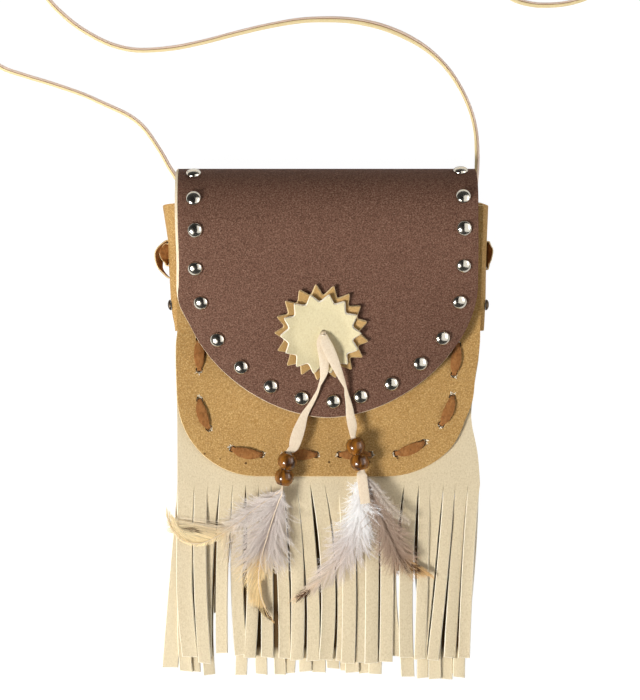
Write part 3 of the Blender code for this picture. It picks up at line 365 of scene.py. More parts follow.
def make_world():
    """White to the camera, and a dim sky to everything else, dimmer still in mirrors."""
    world = bpy.data.worlds.new("studio_world")
    world.use_nodes = True
    SCENE.world = world
    tree = world.node_tree
    tree.nodes.clear()
    output = add_node(tree, "ShaderNodeOutputWorld")
    path = add_node(tree, "ShaderNodeLightPath")
    direction = add_node(tree, "ShaderNodeTexCoord")
    height = add_node(tree, "ShaderNodeSeparateXYZ", {0: direction.outputs["Generated"]})
    sky = mapped(tree, height.outputs["Z"], 0.0, 1.0, SKY_LOW, SKY_HIGH)
    dimmer = mapped(tree, path.outputs["Is Glossy Ray"], 0.0, 1.0, 1.0, GLOSSY_SHARE)
    fill = add_node(tree, "ShaderNodeBackground", {"Color": WHITE, "Strength": scaled(tree, sky, dimmer)})
    white = add_node(tree, "ShaderNodeBackground", {"Color": WHITE, "Strength": 1.0})
    seen = add_node(tree, "ShaderNodeMixShader", {0: path.outputs["Is Camera Ray"],
                                                  1: fill.outputs[0], 2: white.outputs[0]})
    tree.links.new(seen.outputs[0], output.inputs["Surface"])


def make_floor():
    """A white table that takes shadows: paper, mostly covered by a glow where the camera sees it."""
    mesh = bpy.data.meshes.new("floor")
    corners = [(x * FLOOR_SIZE, y * FLOOR_SIZE, 0.0) for x, y in ((-1, -1), (1, -1), (1, 1), (-1, 1))]
    mesh.from_pydata(corners, [], [(0, 1, 2, 3)])
    floor = bpy.data.objects.new("floor", mesh)
    SCENE.collection.objects.link(floor)
    material = bpy.data.materials.new("pale_floor")
    material.use_nodes = True
    tree = material.node_tree
    tree.nodes.clear()
    output = add_node(tree, "ShaderNodeOutputMaterial")
    path = add_node(tree, "ShaderNodeLightPath")
    paper = add_node(tree, "ShaderNodeBsdfDiffuse", {"Color": (0.9, 0.9, 0.9, 1.0)})
    glow = add_node(tree, "ShaderNodeEmission", {"Color": WHITE, "Strength": FLOOR_GLOW})
    dim = scaled(tree, path.outputs["Is Glossy Ray"], GLOSSY_SHARE)
    seen = add_node(tree, "ShaderNodeMath", {0: path.outputs["Is Camera Ray"], 1: dim}, operation="MAXIMUM")
    share = scaled(tree, seen.outputs[0], FLOOR_GLOW_SHARE)
    blend = add_node(tree, "ShaderNodeMixShader", {0: share, 1: paper.outputs[0], 2: glow.outputs[0]})
    tree.links.new(blend.outputs[0], output.inputs["Surface"])
    mesh.materials.append(material)


# Materials
def stretched_noise(tree, scale, stretch, detail, roughness=0.6):
    """Noise in the bag's own coordinates, drawn out along some axis."""
    coordinates = add_node(tree, "ShaderNodeTexCoord")
    mapping = add_node(tree, "ShaderNodeMapping", {"Vector": coordinates.outputs["Object"], "Scale": stretch})
    return add_node(tree, "ShaderNodeTexNoise", {"Vector": mapping.outputs[0], "Scale": scale,
                                                 "Detail": detail, "Roughness": roughness}).outputs[0]


def make_grain_group(name, layers):
    """A shared effect: light grain, soft blotches, dark pits, and the grain's height for a bump.
    Each layer is its name, its scale's name, its stretch, detail, roughness and the range drawn out."""
    tree = bpy.data.node_groups.new(name, "ShaderNodeTree")
    for way, labels in (("INPUT", ("Grain Scale", "Blotch Scale")),
                        ("OUTPUT", ("Grain", "Blotches", "Pits", "Height"))):
        for label in labels:
            tree.interface.new_socket(label, in_out=way, socket_type="NodeSocketFloat")
    entry = tree.nodes.new("NodeGroupInput")
    leave = tree.nodes.new("NodeGroupOutput")
    for label, scale, stretch, detail, roughness, low, high in layers:
        field = stretched_noise(tree, entry.outputs[scale], stretch, detail, roughness)
        tree.links.new(mapped(tree, field, low, high), leave.inputs[label])
        if label == "Grain":
            tree.links.new(field, leave.inputs["Height"])
    return tree


# A stretch that leaves a noise as it is
EVEN = (1.0, 1.0, 1.0)
HIDE_GRAIN = make_grain_group("hide_grain", (
    ("Grain", "Grain Scale", EVEN, 3.0, 0.7, 0.44, 0.66),
    ("Blotches", "Blotch Scale", EVEN, 3.0, 0.55, 0.32, 0.68),
    ("Pits", "Grain Scale", (1.1, 1.0, 1.1), 2.0, 0.6, 0.52, 0.34)))
SUEDE_NAP = make_grain_group("suede_nap", (
    ("Grain", "Grain Scale", (1.0, 0.5, 1.0), 4.0, 0.75, 0.42, 0.66),
    ("Blotches", "Blotch Scale", (1.0, 0.35, 1.0), 3.0, 0.6, 0.32, 0.68),
    ("Pits", "Grain Scale", (1.0, 0.8, 1.0), 3.0, 0.65, 0.52, 0.34)))


def new_material(name, roughness, **constants):
    """A material with its tree and shader. The constants are the shader's sockets, _ for a space."""
    material = bpy.data.materials.new(name)
    material.use_nodes = True
    shader = material.node_tree.nodes["Principled BSDF"]
    shader.inputs["Roughness"].default_value = roughness
    for label, value in constants.items():
        shader.inputs[label.replace("_", " ")].default_value = value
    return material, material.node_tree, shader


def surfaced(name, group, scales, colours, shares, roughness, bump, **constants):
    """A leather or suede: base colour, blotches over it, light grain and dark pits, and a bump."""
    constants.setdefault("Specular_IOR_Level", 0.2)
    material, tree, shader = new_material(name, roughness, **constants)
    effect = add_node(tree, "ShaderNodeGroup", node_tree=group)
    for socket, value in zip(effect.inputs, scales):
        socket.default_value = value
    tone, *layers = [display_colour(*colour) for colour in colours]
    for label, share, colour in zip(("Blotches", "Grain", "Pits"), shares, layers):
        tone = blend_colours(tree, scaled(tree, effect.outputs[label], share), tone, colour)
    tree.links.new(tone, shader.inputs["Base Color"])
    relief = add_node(tree, "ShaderNodeBump", {"Height": effect.outputs["Height"], "Strength": bump,
                                               "Distance": 0.3 * MM})
    tree.links.new(relief.outputs[0], shader.inputs["Normal"])
    return material


def hide(name, colours, shares, roughness=0.6, scales=(1500.0, 70.0), **constants):
    return surfaced(name, HIDE_GRAIN, scales, colours, shares, roughness, 0.55, **constants)


def suede(name, colours, shares, roughness=0.85, scales=(1400.0, 60.0), **constants):
    return surfaced(name, SUEDE_NAP, scales, colours, shares, roughness, 0.4, **constants)


def two_toned(name, roughness, grain, first, second, drawn_out=(0.0, 1.0), **constants):
    """A material whose colour runs between two tones along a stretched noise."""
    material, tree, shader = new_material(name, roughness, **constants)
    field = stretched_noise(tree, *grain)
    share = mapped(tree, field, *drawn_out)
    tone = blend_colours(tree, share, display_colour(*first), display_colour(*second))
    tree.links.new(tone, shader.inputs["Base Color"])
    return material, tree, shader, field


def make_nickel():
    """Polished domes, a little duller where they are worn."""
    material, tree, shader, wear = two_toned("polished_nickel", 0.12, (420.0, EVEN, 3.0),
                                             (226, 219, 204), (206, 198, 182), Metallic=1.0)
    tree.links.new(mapped(tree, wear, 0.0, 1.0, 0.16, 0.175), shader.inputs["Roughness"])
    return material


def make_shaded_nickel():
    """The low side studs show only their edge, in shade: the metal is painted dark as that shade."""
    return two_toned("nickel_painted_shade", 0.4, (420.0, EVEN, 3.0), (108, 92, 74), (74, 60, 48), Metallic=1.0)[0]


def make_bead_wood():
    return two_toned("lacquered_wood", 0.5, (420.0, (1.0, 0.22, 1.0), 4.0, 0.6), (158, 98, 24), (58, 30, 6),
                     (0.34, 0.66), Coat_Weight=1.0, Coat_Roughness=0.1, Specular_IOR_Level=0.1)[0]


def make_quill():
    return two_toned("horn_quill", 0.4, (700.0, (1.0, 0.2, 1.0), 3.0), (244, 226, 198), (222, 198, 168))[0]


def make_plume():
    """Feather barbs, coloured fibre by fibre. The fibres glow faintly in their own tone: painted light,
    standing in for light that passes through the thin fibres.
    """
    material, tree, shader = new_material("plume_fibres", 0.8, Specular_IOR_Level=0.1, Emission_Strength=0.13)
    tones = add_node(tree, "ShaderNodeAttribute", attribute_name="plume_tone")
    mottle = stretched_noise(tree, 900.0, EVEN, 2.0)
    tinted = add_node(tree, "ShaderNodeVectorMath", {0: tones.outputs["Color"],
                                                     3: mapped(tree, mottle, 0.0, 1.0, 0.9, 1.08)},
                      operation="SCALE")
    tree.links.new(tinted.outputs[0], shader.inputs["Base Color"])
    # Painted light: the fibres glow faintly in their own tone
    tree.links.new(tinted.outputs[0], shader.inputs["Emission Color"])
    return material


def lay_over(material, share, colour):
    """Lays another colour over a material's own, where the share is above 0."""
    tree = material.node_tree
    base = tree.nodes["Principled BSDF"].inputs["Base Color"]
    tree.links.new(blend_colours(tree, share, base.links[0].from_socket, display_colour(*colour)), base)


def paint_shade_under_fringe():
    """Painted shade: the lower strands are darkened to a deep brown where the upper ones lie over them."""
    tree = UNDER_CREAM.node_tree
    coordinates = add_node(tree, "ShaderNodeTexCoord")
    place = add_node(tree, "ShaderNodeSeparateXYZ", {0: coordinates.outputs["Object"]})
    across = between(tree, place.outputs["X"], *PAINTED_SHADE_X, 2.0 * MM)
    down = between(tree, place.outputs["Y"], *PAINTED_SHADE_Y, 4.0 * MM)
    # The painted shade's deep brown, laid where both masks meet
    lay_over(UNDER_CREAM, scaled(tree, across, down), (96, 72, 42))


def prick_tan():
    """Sparse dark needle pricks in a band along the front panel's lower edge."""
    tree = TAN.node_tree
    coordinates = add_node(tree, "ShaderNodeTexCoord")
    place = add_node(tree, "ShaderNodeSeparateXYZ", {0: coordinates.outputs["Object"]})
    cells = add_node(tree, "ShaderNodeTexVoronoi", {"Vector": coordinates.outputs["Object"], "Scale": 165.0})
    spots = mapped(tree, cells.outputs["Distance"], 0.13, 0.07)
    band = between(tree, place.outputs["Y"], *PRICK_BAND, 0.2 * MM)
    lay_over(TAN, scaled(tree, band, spots), (92, 60, 28))


# Each hide or suede: base, blotches, light grain and dark pits, and the shares of the last three
BROWN = hide("brown_flap", ((108, 76, 62), (93, 64, 51), (152, 118, 98), (68, 45, 35)), (0.35, 0.8, 0.7),
             Specular_IOR_Level=0.04)
BROWN_FLESH = suede("brown_flesh", ((124, 95, 80), (106, 78, 64), (156, 128, 110), (90, 64, 52)),
                    (0.3, 0.5, 0.4))
TAN = hide("tan_panel", ((180, 138, 77), (165, 122, 63), (220, 184, 122), (144, 104, 54)), (0.4, 0.8, 0.6),
           0.66, (1300.0, 60.0))
ROSETTE_TAN = hide("tan_rosette", ((190, 152, 94), (176, 136, 78), (208, 172, 114), (150, 110, 60)),
                   (0.3, 0.4, 0.35))
ROSETTE_CREAM = suede("cream_rosette", ((224, 210, 168), (214, 198, 152), (238, 228, 194), (200, 182, 138)),
                      (0.3, 0.4, 0.35))
CREAM = suede("cream_fringe", ((219, 202, 168), (208, 189, 152), (234, 219, 189), (188, 166, 127)),
              (0.3, 0.55, 0.4))
# Cut edges: paler than the faces, partly their own colour and partly painted highlight
CREAM_EDGE_HIGHLIT = suede("cream_cut_edge_and_highlight", ((252, 243, 220), (244, 230, 200), (255, 250, 234), (232, 214, 180)),
                   (0.3, 0.4, 0.2))
FLAP_EDGE = suede("flap_cut_edge", ((240, 222, 190), (226, 204, 168), (252, 240, 214), (204, 176, 138)),
                  (0.3, 0.5, 0.4))
# The tan cut edge, paler than the face: partly its own colour and partly painted highlight
TAN_EDGE_HIGHLIT = suede("tan_cut_edge_and_highlight", ((230, 202, 150), (212, 180, 124), (244, 224, 182), (180, 144, 94)),
                 (0.3, 0.5, 0.3))
RUST = suede("rust_suede", ((156, 102, 52), (122, 74, 34), (190, 136, 80), (96, 56, 24)), (0.5, 0.5, 0.5),
             scales=(900.0, 160.0))
PALE_LACE = suede("pale_suede_lace", ((235, 216, 188), (220, 194, 164), (247, 234, 212), (208, 180, 150)),
                  (0.4, 0.4, 0.3))
# Lit and shaded copies of the strap's one cream suede: painted light on the sides facing the lower left,
# painted shade on the pinker sides facing away, and painted shade in the crease
STRAP_LIT = suede("strap_painted_lit_side", ((236, 215, 162), (228, 204, 150), (246, 230, 190), (214, 188, 136)),
                  (0.3, 0.25, 0.2), scales=(900.0, 60.0))
STRAP_SHADE_SIDE = suede("strap_painted_shade_side", ((252, 226, 206), (246, 214, 190), (254, 236, 220), (236, 200, 174)),
                   (0.3, 0.25, 0.2), scales=(900.0, 60.0))
STRAP_CREASE_SHADE = suede("strap_crease_painted_shade", ((168, 126, 88), (152, 108, 72), (192, 152, 114), (122, 84, 54)),
                     (0.4, 0.3, 0.3))
# The lower fringe's own cream; painted shade is laid over its covered middle later
UNDER_CREAM = suede("cream_under_fringe_and_painted_shade",
                    ((226, 209, 174), (215, 196, 158), (240, 226, 196), (200, 180, 142)), (0.3, 0.45, 0.25))
NICKEL = make_nickel()
SHADED_NICKEL = make_shaded_nickel()
WOOD = make_bead_wood()
PLUME = make_plume()
QUILL = make_quill()


# Mesh helpers
def add_piece(name, vertices, faces, materials, slots=None, crease=40.0):
    mesh = bpy.data.meshes.new(name)
    mesh.from_pydata(vertices, [], faces)
    for material in materials:
        mesh.materials.append(material)
    if slots:
        mesh.polygons.foreach_set("material_index", slots)
    mesh.polygons.foreach_set("use_smooth", [True] * len(faces))
    mesh.update()
    mesh.set_sharp_from_angle(angle=math.radians(crease))
    piece = bpy.data.objects.new(name, mesh)
    SCENE.collection.objects.link(piece)
    return piece


def surface_normal(place, u, v):
    along_u = place(u + PROBE_STEP, v) - place(u - PROBE_STEP, v)
    along_v = place(u, v + PROBE_STEP) - place(u, v - PROBE_STEP)
    return along_u.cross(along_v).normalized()


def raised(place, lift):
    """The surface that lies a fixed height over another."""
    def place_above(u, v):
        return place(u, v) + surface_normal(place, u, v) * lift

    return place_above


def arc(centre, radius, start, end, count):
    """Points on an arc, angles in degrees."""
    angles = [math.radians(start + (end - start) * step / count) for step in range(count + 1)]
    return [(centre[0] + radius * math.cos(angle), centre[1] + radius * math.sin(angle)) for angle in angles]


def circle(centre, radius, sides, stretch=1.0):
    turns = [math.tau * (step + 0.5) / sides for step in range(sides)]
    return [(centre[0] + radius * stretch * math.cos(turn), centre[1] + radius * math.sin(turn))
            for turn in turns]


def line_length(points):
    return sum(math.dist(a, b) for a, b in zip(points, points[1:]))


def doubled_area(outline):
    """Twice a closed outline's area, above 0 where it runs to the left."""
    return sum(a[0] * b[1] - b[0] * a[1] for a, b in zip(outline, outline[1:] + outline[:1]))


def ahead_at(points, index):
    """The way that a line of points runs at one of them."""
    return points[min(index + 1, len(points) - 1)] - points[max(index - 1, 0)]


def level_across(ahead):
    return Vector((-ahead.y, ahead.x, 0.0)).normalized()


def walk(points, share):
    """The place and the direction at a share of the way along a line of points."""
    lengths = [math.dist(a, b) for a, b in zip(points, points[1:])]
    left = share * sum(lengths)
    for (a, b), length in zip(zip(points, points[1:]), lengths):
        if left <= length and length > 0.0:
            t = left / length
            place = tuple(p + (q - p) * t for p, q in zip(a, b))
            return place, tuple((q - p) / length for p, q in zip(a, b))
        left -= length
    return points[-1], tuple((q - p) / lengths[-1] for p, q in zip(points[-2], points[-1]))


def even_steps(outline, step, closed=True):
    """The outline's corners with more points between them, none further apart than the step."""
    points = []
    ends = outline[1:] + outline[:1] if closed else outline[1:]
    for a, b in zip(outline, ends):
        count = max(1, math.ceil(math.dist(a, b) / step))
        points += [(mix(a[0], b[0], i / count), mix(a[1], b[1], i / count)) for i in range(count)]
    return points if closed else points + [outline[-1]]


def inside(outline, x, y):
    """Whether a flat place lies inside a closed outline."""
    odd = False
    for (ax, ay), (bx, by) in zip(outline, outline[1:] + outline[:1]):
        if (ay > y) != (by > y) and x < (bx - ax) * (y - ay) / (by - ay) + ax:
            odd = not odd
    return odd


def drawn_in(outline, depth):
    """A closed outline moved inwards, by an amount that depth(x, y) gives."""
    turn = 1.0 if doubled_area(outline) > 0 else -1.0
    moved = []
    count = len(outline)
    for index, (x, y) in enumerate(outline):
        before = outline[index - 1]
        after = outline[(index + 1) % count]
        along = Vector((after[0] - before[0], after[1] - before[1])).normalized()
        moved.append((x - along.y * turn * depth(x, y), y + along.x * turn * depth(x, y)))
    return moved


def grid_places(rims, slant, spacing):
    """An even triangular grid of places inside the first rim, clear of it and of the holes' rims."""
    guard = drawn_in(rims[0], lambda x, y: slant(x, y) + EDGE_CLEARANCE * spacing)
    clear = []
    for hole in rims[1:]:
        centre = (sum(p[0] for p in hole) / len(hole), sum(p[1] for p in hole) / len(hole))
        clear.append((centre, math.dist(hole[0], hole[len(hole) // 2]) / 2 + HOLE_CLEARANCE * spacing))
    left = min(p[0] for p in rims[0])
    right = max(p[0] for p in rims[0])
    low = min(p[1] for p in rims[0])
    high = max(p[1] for p in rims[0])
    places = []
    for row in range(int((high - low) / (spacing * ROW_SHARE)) + 2):
        y = low + row * spacing * ROW_SHARE
        shift = 0.5 * spacing if row % 2 else 0.0
        for column in range(int((right - left) / spacing) + 2):
            x = left + shift + column * spacing
            if inside(guard, x, y) and all(math.dist((x, y), centre) >= reach for centre, reach in clear):
                places.append(Vector((x, y)))
    return places


def flat_triangles(name, flat, rims):
    """Triangles between flat places that begin with those of the rims, left out in the holes."""
    edges = []
    start = 0
    for rim in rims:
        edges += [(start + i, start + (i + 1) % len(rim)) for i in range(len(rim))]
        start += len(rim)
    points, _, triangles, _, _, _ = geometry.delaunay_2d_cdt(flat, edges, [], 0, 1e-7)
    assert len(points) == len(flat), (name, len(points), len(flat))
    kept = []
    for a, b, c in triangles:
        middle = (points[a] + points[b] + points[c]) / 3
        if inside(rims[0], *middle) and not any(inside(hole, *middle) for hole in rims[1:]):
            kept.append((a, b, c))
    return kept


def cut_sheet(name, outline, holes, place, thickness, spacing, materials, slant, edge_step=None):
    """A piece of sheet cut and punched flat, with slanted cut edges, and bent onto place(u, v).
    The materials are the face's, the cut edge's and the back's."""
    rims = [even_steps(outline, edge_step or spacing)] + [list(hole) for hole in holes]
    uppers = [drawn_in(rims[0], slant)] + [drawn_in(rim, lambda x, y: -PUNCH_SLANT) for rim in rims[1:]]
    filling = grid_places(rims, slant, spacing)
    flat = [Vector(point) for rim in uppers for point in rim] + filling
    lower_flat = [Vector(point) for rim in rims for point in rim] + filling
    kept = flat_triangles(name, flat, uppers)
    upper = [place(*spot) + surface_normal(place, *spot) * thickness / 2 for spot in flat]
    lower = [place(*spot) - surface_normal(place, *spot) * thickness / 2 for spot in lower_flat]
    count = len(flat)
    faces = list(kept) + [(c + count, b + count, a + count) for a, b, c in kept]
    slots = [0] * len(kept) + [len(materials) - 1] * len(kept)
    start = 0
    for index, rim in enumerate(rims):
        forward = (doubled_area(rim) > 0) == (index == 0)
        for i in range(len(rim)):
            a = start + i
            b = start + (i + 1) % len(rim)
            faces.append((a + count, b + count, b, a) if forward else (b + count, a + count, a, b))
            slots.append(1)
        start += len(rim)
    return add_piece(name, upper + lower, faces, materials, slots)


def spline_value(values, index, t):
    """A value on the smooth curve through a row of points or numbers."""
    last = len(values) - 1
    p0, p1, p2, p3 = (values[min(max(index + step, 0), last)] for step in (-1, 0, 1, 2))
    return 0.5 * (2 * p1 + (p2 - p0) * t + (2 * p0 - 5 * p1 + 4 * p2 - p3) * t ** 2
                  + (3 * p1 - p0 - 3 * p2 + p3) * t ** 3)


def denser(values, steps):
    """Smoothly filled in, with a number of steps between neighbours."""
    filled = [spline_value(values, index, step / steps) for index in range(len(values) - 1)
              for step in range(steps)]
    return filled + [values[-1]]


def value_at(stops, share):
    """Values from a list of (share, value, ...) stops."""
    for first, second in zip(stops, stops[1:]):
        if share <= second[0]:
            t = max(0.0, (share - first[0]) / (second[0] - first[0]))
            return tuple(mix(a, b, t) for a, b in zip(first[1:], second[1:]))
    return stops[-1][1:]


# Cross-sections of laces, in shares of their width and thickness
LACE_SECTION = ((-0.5, 0.2), (-0.5, -0.25), (-0.44, -0.5), (0.0, -0.5), (0.44, -0.5), (0.5, -0.25),
                (0.5, 0.2), (0.44, 0.44), (0.22, 0.55), (0.0, 0.6), (-0.22, 0.55), (-0.44, 0.44))
# A folded lace: two slopes with a crease between them, on a flat foot
ROOF_SECTION = ((-0.5, 0.12), (-0.3, 0.26), (-0.07, 0.35), (0.0, 0.31), (0.07, 0.35), (0.3, 0.26),
                (0.5, 0.12), (0.4, -0.46), (-0.4, -0.46))
ROOF_CREASE = (2, 3)
ROOF_RIGHT_SIDE = (4, 5, 6)
SQUARE_SECTION = ((-0.5, 0.38), (-0.5, -0.38), (-0.46, -0.5), (0.46, -0.5), (0.5, -0.38), (0.5, 0.38),
                  (0.46, 0.5), (0.15, 0.52), (-0.15, 0.52), (-0.46, 0.5))
SQUARE_EDGES = (0, 4)


def ribbon(name, places, widths, acrosses, thickness, materials, section, slot_of, wander):
    """A flat lace along a line of places, with its own width and crosswise direction at each.
    slot_of(side, row) gives a face's material, and wander is how much the width ripples."""
    last = len(places) - 1
    sides = len(section)
    vertices = []
    for row, place in enumerate(places):
        ahead = ahead_at(places, row)
        across = (acrosses[row] - ahead * (acrosses[row].dot(ahead) / ahead.length_squared)).normalized()
        up = across.cross(ahead).normalized()
        for share, height in section:
            ripple = 1.0 + wander * noise.noise(place * 600.0 + Vector((share * 3.0, 0.0, height)))
            vertices.append(place + across * share * widths[row] * ripple + up * height * thickness)
    faces = []
    slots = []
    for row in range(last):
        for side in range(sides):
            a = row * sides + side
            b = row * sides + (side + 1) % sides
            faces.append((a, b, b + sides, a + sides))
            slots.append(slot_of(side, row))
    faces.append(tuple(reversed(range(sides))))
    faces.append(tuple(range(last * sides, (last + 1) * sides)))
    slots += [0, 0]
    piece = add_piece(name, vertices, faces, materials, slots, 50.0)
    face_outwards(piece)
    return piece


def face_outwards(piece):
    """Turns a closed piece the right way out, if it is inside out."""
    mesh = piece.data
    mesh.calc_loop_triangles()
    volume = 0.0
    for triangle in mesh.loop_triangles:
        a, b, c = (mesh.vertices[index].co for index in triangle.vertices)
        volume += a.dot(b.cross(c))
    if volume < 0:
        mesh.flip_normals()


def turned(name, profile, sides, material, place, normal, wobble=0.0):
    """A turned piece from (radius, height) pairs. A profile whose ends have no radius is closed by them."""
    frame_turn = Vector(normal).to_track_quat("Z", "Y").to_matrix().to_4x4()
    matrix = Matrix.Translation(place) @ frame_turn
    ring = profile[0] == profile[-1]
    rows = profile[:-1] if ring else profile
    vertices = []
    starts = []
    for radius, height in rows:
        starts.append(len(vertices))
        if radius < 1e-9:
            vertices.append(matrix @ Vector((0.0, 0.0, height)))
            continue
        for side in range(sides):
            turn = math.tau * side / sides
            x, y = math.cos(turn), math.sin(turn)
            bulge = 1.0 + wobble * noise.noise(Vector((x, y, height * 300.0)) + place * 90.0)
            vertices.append(matrix @ Vector((radius * bulge * x, radius * bulge * y, height)))
    faces = []
    pairs = list(zip(range(len(rows)), range(1, len(rows))))
    if ring:
        pairs.append((len(rows) - 1, 0))
    for first, second in pairs:
        for side in range(sides):
            after = (side + 1) % sides
            if rows[first][0] < 1e-9:
                faces.append((starts[first], starts[second] + side, starts[second] + after))
            elif rows[second][0] < 1e-9:
                faces.append((starts[first] + after, starts[first] + side, starts[second]))
            else:
                faces.append((starts[first] + side, starts[second] + side,
                              starts[second] + after, starts[first] + after))
    piece = add_piece(name, vertices, faces, [material], None, 50.0)
    face_outwards(piece)
    return piece


# Forms of the bag. Places are (x, y) on the solids' plan, and the shifts are the scene's own
def right_side(y):
    return PANEL_RIGHT + PANEL_FLARE * smooth((y - PANEL_BOTTOM - CORNER_RIGHT) / FLARE_LENGTH)


def panel_rim(inset, top, steps=RIM_STEPS):
    """The panels' edge, or a line inside it, from the top left round to the top right."""
    left_centre = (-PANEL_LEFT + CORNER_LEFT, PANEL_BOTTOM + CORNER_LEFT)
    right_centre = (PANEL_RIGHT - CORNER_RIGHT, PANEL_BOTTOM + CORNER_RIGHT)
    rim = [(-PANEL_LEFT + inset, top)]
    rim += arc(left_centre, CORNER_LEFT - inset, 180, 270, steps)
    rim += arc(right_centre, CORNER_RIGHT - inset, 270, 360, steps)
    flare_top = right_centre[1] + FLARE_LENGTH
    rises = [mix(right_centre[1], flare_top, step * 3 / steps) for step in range(1, steps // 3 + 1)]
    rim += [(right_side(y) - inset, y) for y in rises]
    return rim + [(right_side(top) - inset, top)]


def inset_at(x, y):
    """How far a place lies inside the panels' edge."""
    half, corner = (PANEL_LEFT, CORNER_LEFT) if x < 0 else (right_side(y), CORNER_RIGHT)
    across = abs(x) - (half - corner)
    down = PANEL_BOTTOM + corner - y
    outside = math.hypot(max(across, 0.0), max(down, 0.0))
    return corner - outside - min(max(across, down), 0.0)


def side_shift(x, y):
    """How far the sheets draw in at the lower right, and bow out a little at the left."""
    if x > 0:
        return -value_at(DRAWN_IN_RIGHT, y / MM)[0] * MM * smooth((x - 65 * MM) / (10 * MM))
    bow = math.exp(-((y + 18 * MM) / (20 * MM)) ** 2) * smooth((-4 * MM - y) / (8 * MM))
    return -LEFT_BOW * bow * smooth((-x - 66 * MM) / (8 * MM))


def flap_side_shift(x, y):
    """The flap's sides stand a little wider at the left and at the top right."""
    side = smooth((abs(x) - 66 * MM) / (6 * MM))
    if x > 0:
        return FLAP_OUT_RIGHT * smooth((y - 45 * MM) / (25 * MM)) * side
    bow = math.exp(-((y - 12 * MM) / (12 * MM)) ** 2) * smooth((y + 9 * MM) / (12 * MM))
    return -(FLAP_OUT_LEFT * smooth((y + 8 * MM) / (14 * MM)) + FLAP_BOW_LEFT * bow) * side


def top_shift(y):
    """The sheets' top edge lies a little lower than the solids'."""
    return -TOP_SINK * smooth((y - 60 * MM) / (14 * MM))


BACK_LIFT = FLOOR_CLEARANCE + LACE_SHEET + GAP
BACK_RIM_Z = BACK_LIFT + SHEET / 2
BACK_BAND_LIFT = SHEET / 2 + GAP + FRINGE_SHEET / 2
BAND_STEP = FRINGE_SHEET + GAP
FLANGE_LIFT = SHEET + GAP + SLOPE_GAP
RIM_Z = BACK_RIM_Z + 3 * (SHEET + GAP)
OVER_LACE = SHEET / 2 + GAP + LACE_SHEET / 2
UNDER_LACE_Z = FLOOR_CLEARANCE + LACE_SHEET / 2


def rim_height(y):
    rise = max(0.0, (y - GUSSET_END_Y) / (MOUTH_Y - GUSSET_END_Y))
    return RIM_Z + (MOUTH_DEPTH - RIM_Z) * rise ** MOUTH_RISE_POWER


def front_place(x, y):
    """The front panel's middle surface, which swells between the laced edges."""
    swell = smooth((inset_at(x, y) - BULGE_INSET) / (PANEL_LEFT - BULGE_INSET))
    bulge = BULGE * math.exp(-((y - BULGE_Y) / BULGE_SPREAD) ** 2) * swell
    if x > 0:
        rim = smooth((9 * MM - inset_at(x, y)) / (7 * MM))
        return Vector((x - value_at(PANEL_DRAWN_IN, y / MM)[0] * MM * rim, y, rim_height(y) + bulge))
    return Vector((x + side_shift(x, y), y, rim_height(y) + bulge))


def back_height(y):
    return SHEET / 2 + BACK_LIFT * smooth((RAMP_TOP - y) / RAMP_LENGTH)


ROLL_RADIUS = MOUTH_DEPTH + ROLL_CLEARANCE - HINGE_Z
ROLL_TURN = math.pi / 2 + math.atan(ROLL_SLOPE)
ROLL_CENTRE = Vector((0.0, HINGE_Y - SHEET / 2 - ROLL_RADIUS, HINGE_Z))
ROLL_START = ROLL_CENTRE.y + ROLL_RADIUS * math.cos(ROLL_TURN)
ROLL_START_Z = ROLL_CENTRE.z + ROLL_RADIUS * math.sin(ROLL_TURN)
FLAP_END = ROLL_START + ROLL_RADIUS * ROLL_TURN
FLAP_RUN = ROLL_START - FLAP_TIP
TIP_Z = ROLL_START_Z - (TIP_SLOPE + ROLL_SLOPE) / 2 * FLAP_RUN
CURL_START = HINGE_Y - CURL_LENGTH


def flap_place(x, v):
    """The flap's middle surface. Up to the roll v is the plain Y, and past it the way round the roll."""
    if v > ROLL_START:
        turn = ROLL_TURN - (v - ROLL_START) / ROLL_RADIUS
        y = ROLL_CENTRE.y + ROLL_RADIUS * math.cos(turn)
        z = ROLL_CENTRE.z + ROLL_RADIUS * math.sin(turn)
        return Vector((x + flap_side_shift(x, y), y + top_shift(y), z))
    run = v - FLAP_TIP
    height = TIP_Z + TIP_SLOPE * run + (ROLL_SLOPE - TIP_SLOPE) / (2 * FLAP_RUN) * run ** 2
    droop = FLAP_DROOP * smooth((ROLL_START - v) / DROOP_LENGTH) * abs(x / FLAP_RIGHT) ** DROOP_EXPONENT
    return Vector((x + flap_side_shift(x, v), v + top_shift(v), height - droop))


def back_and_flap_place(x, v):
    """The whole sheet: the flap, the roll, the curl at the hinge and the back, all in one run of v."""
    if v <= FLAP_END:
        return flap_place(x, v)
    past = v - FLAP_END
    if past <= CURL_LENGTH:
        turn = math.pi / 2 * (1.0 - past / CURL_LENGTH)
        y = CURL_START + (CURL_LENGTH - SHEET / 2) * math.sin(turn)
        return Vector((x + flap_side_shift(x, y) * (1.0 - past / CURL_LENGTH), y + top_shift(y),
                       SHEET / 2 + (HINGE_Z - SHEET / 2) * (1.0 - math.cos(turn))))
    y = CURL_START - (past - CURL_LENGTH)
    return Vector((x + side_shift(x, y), y + top_shift(y), back_height(y)))


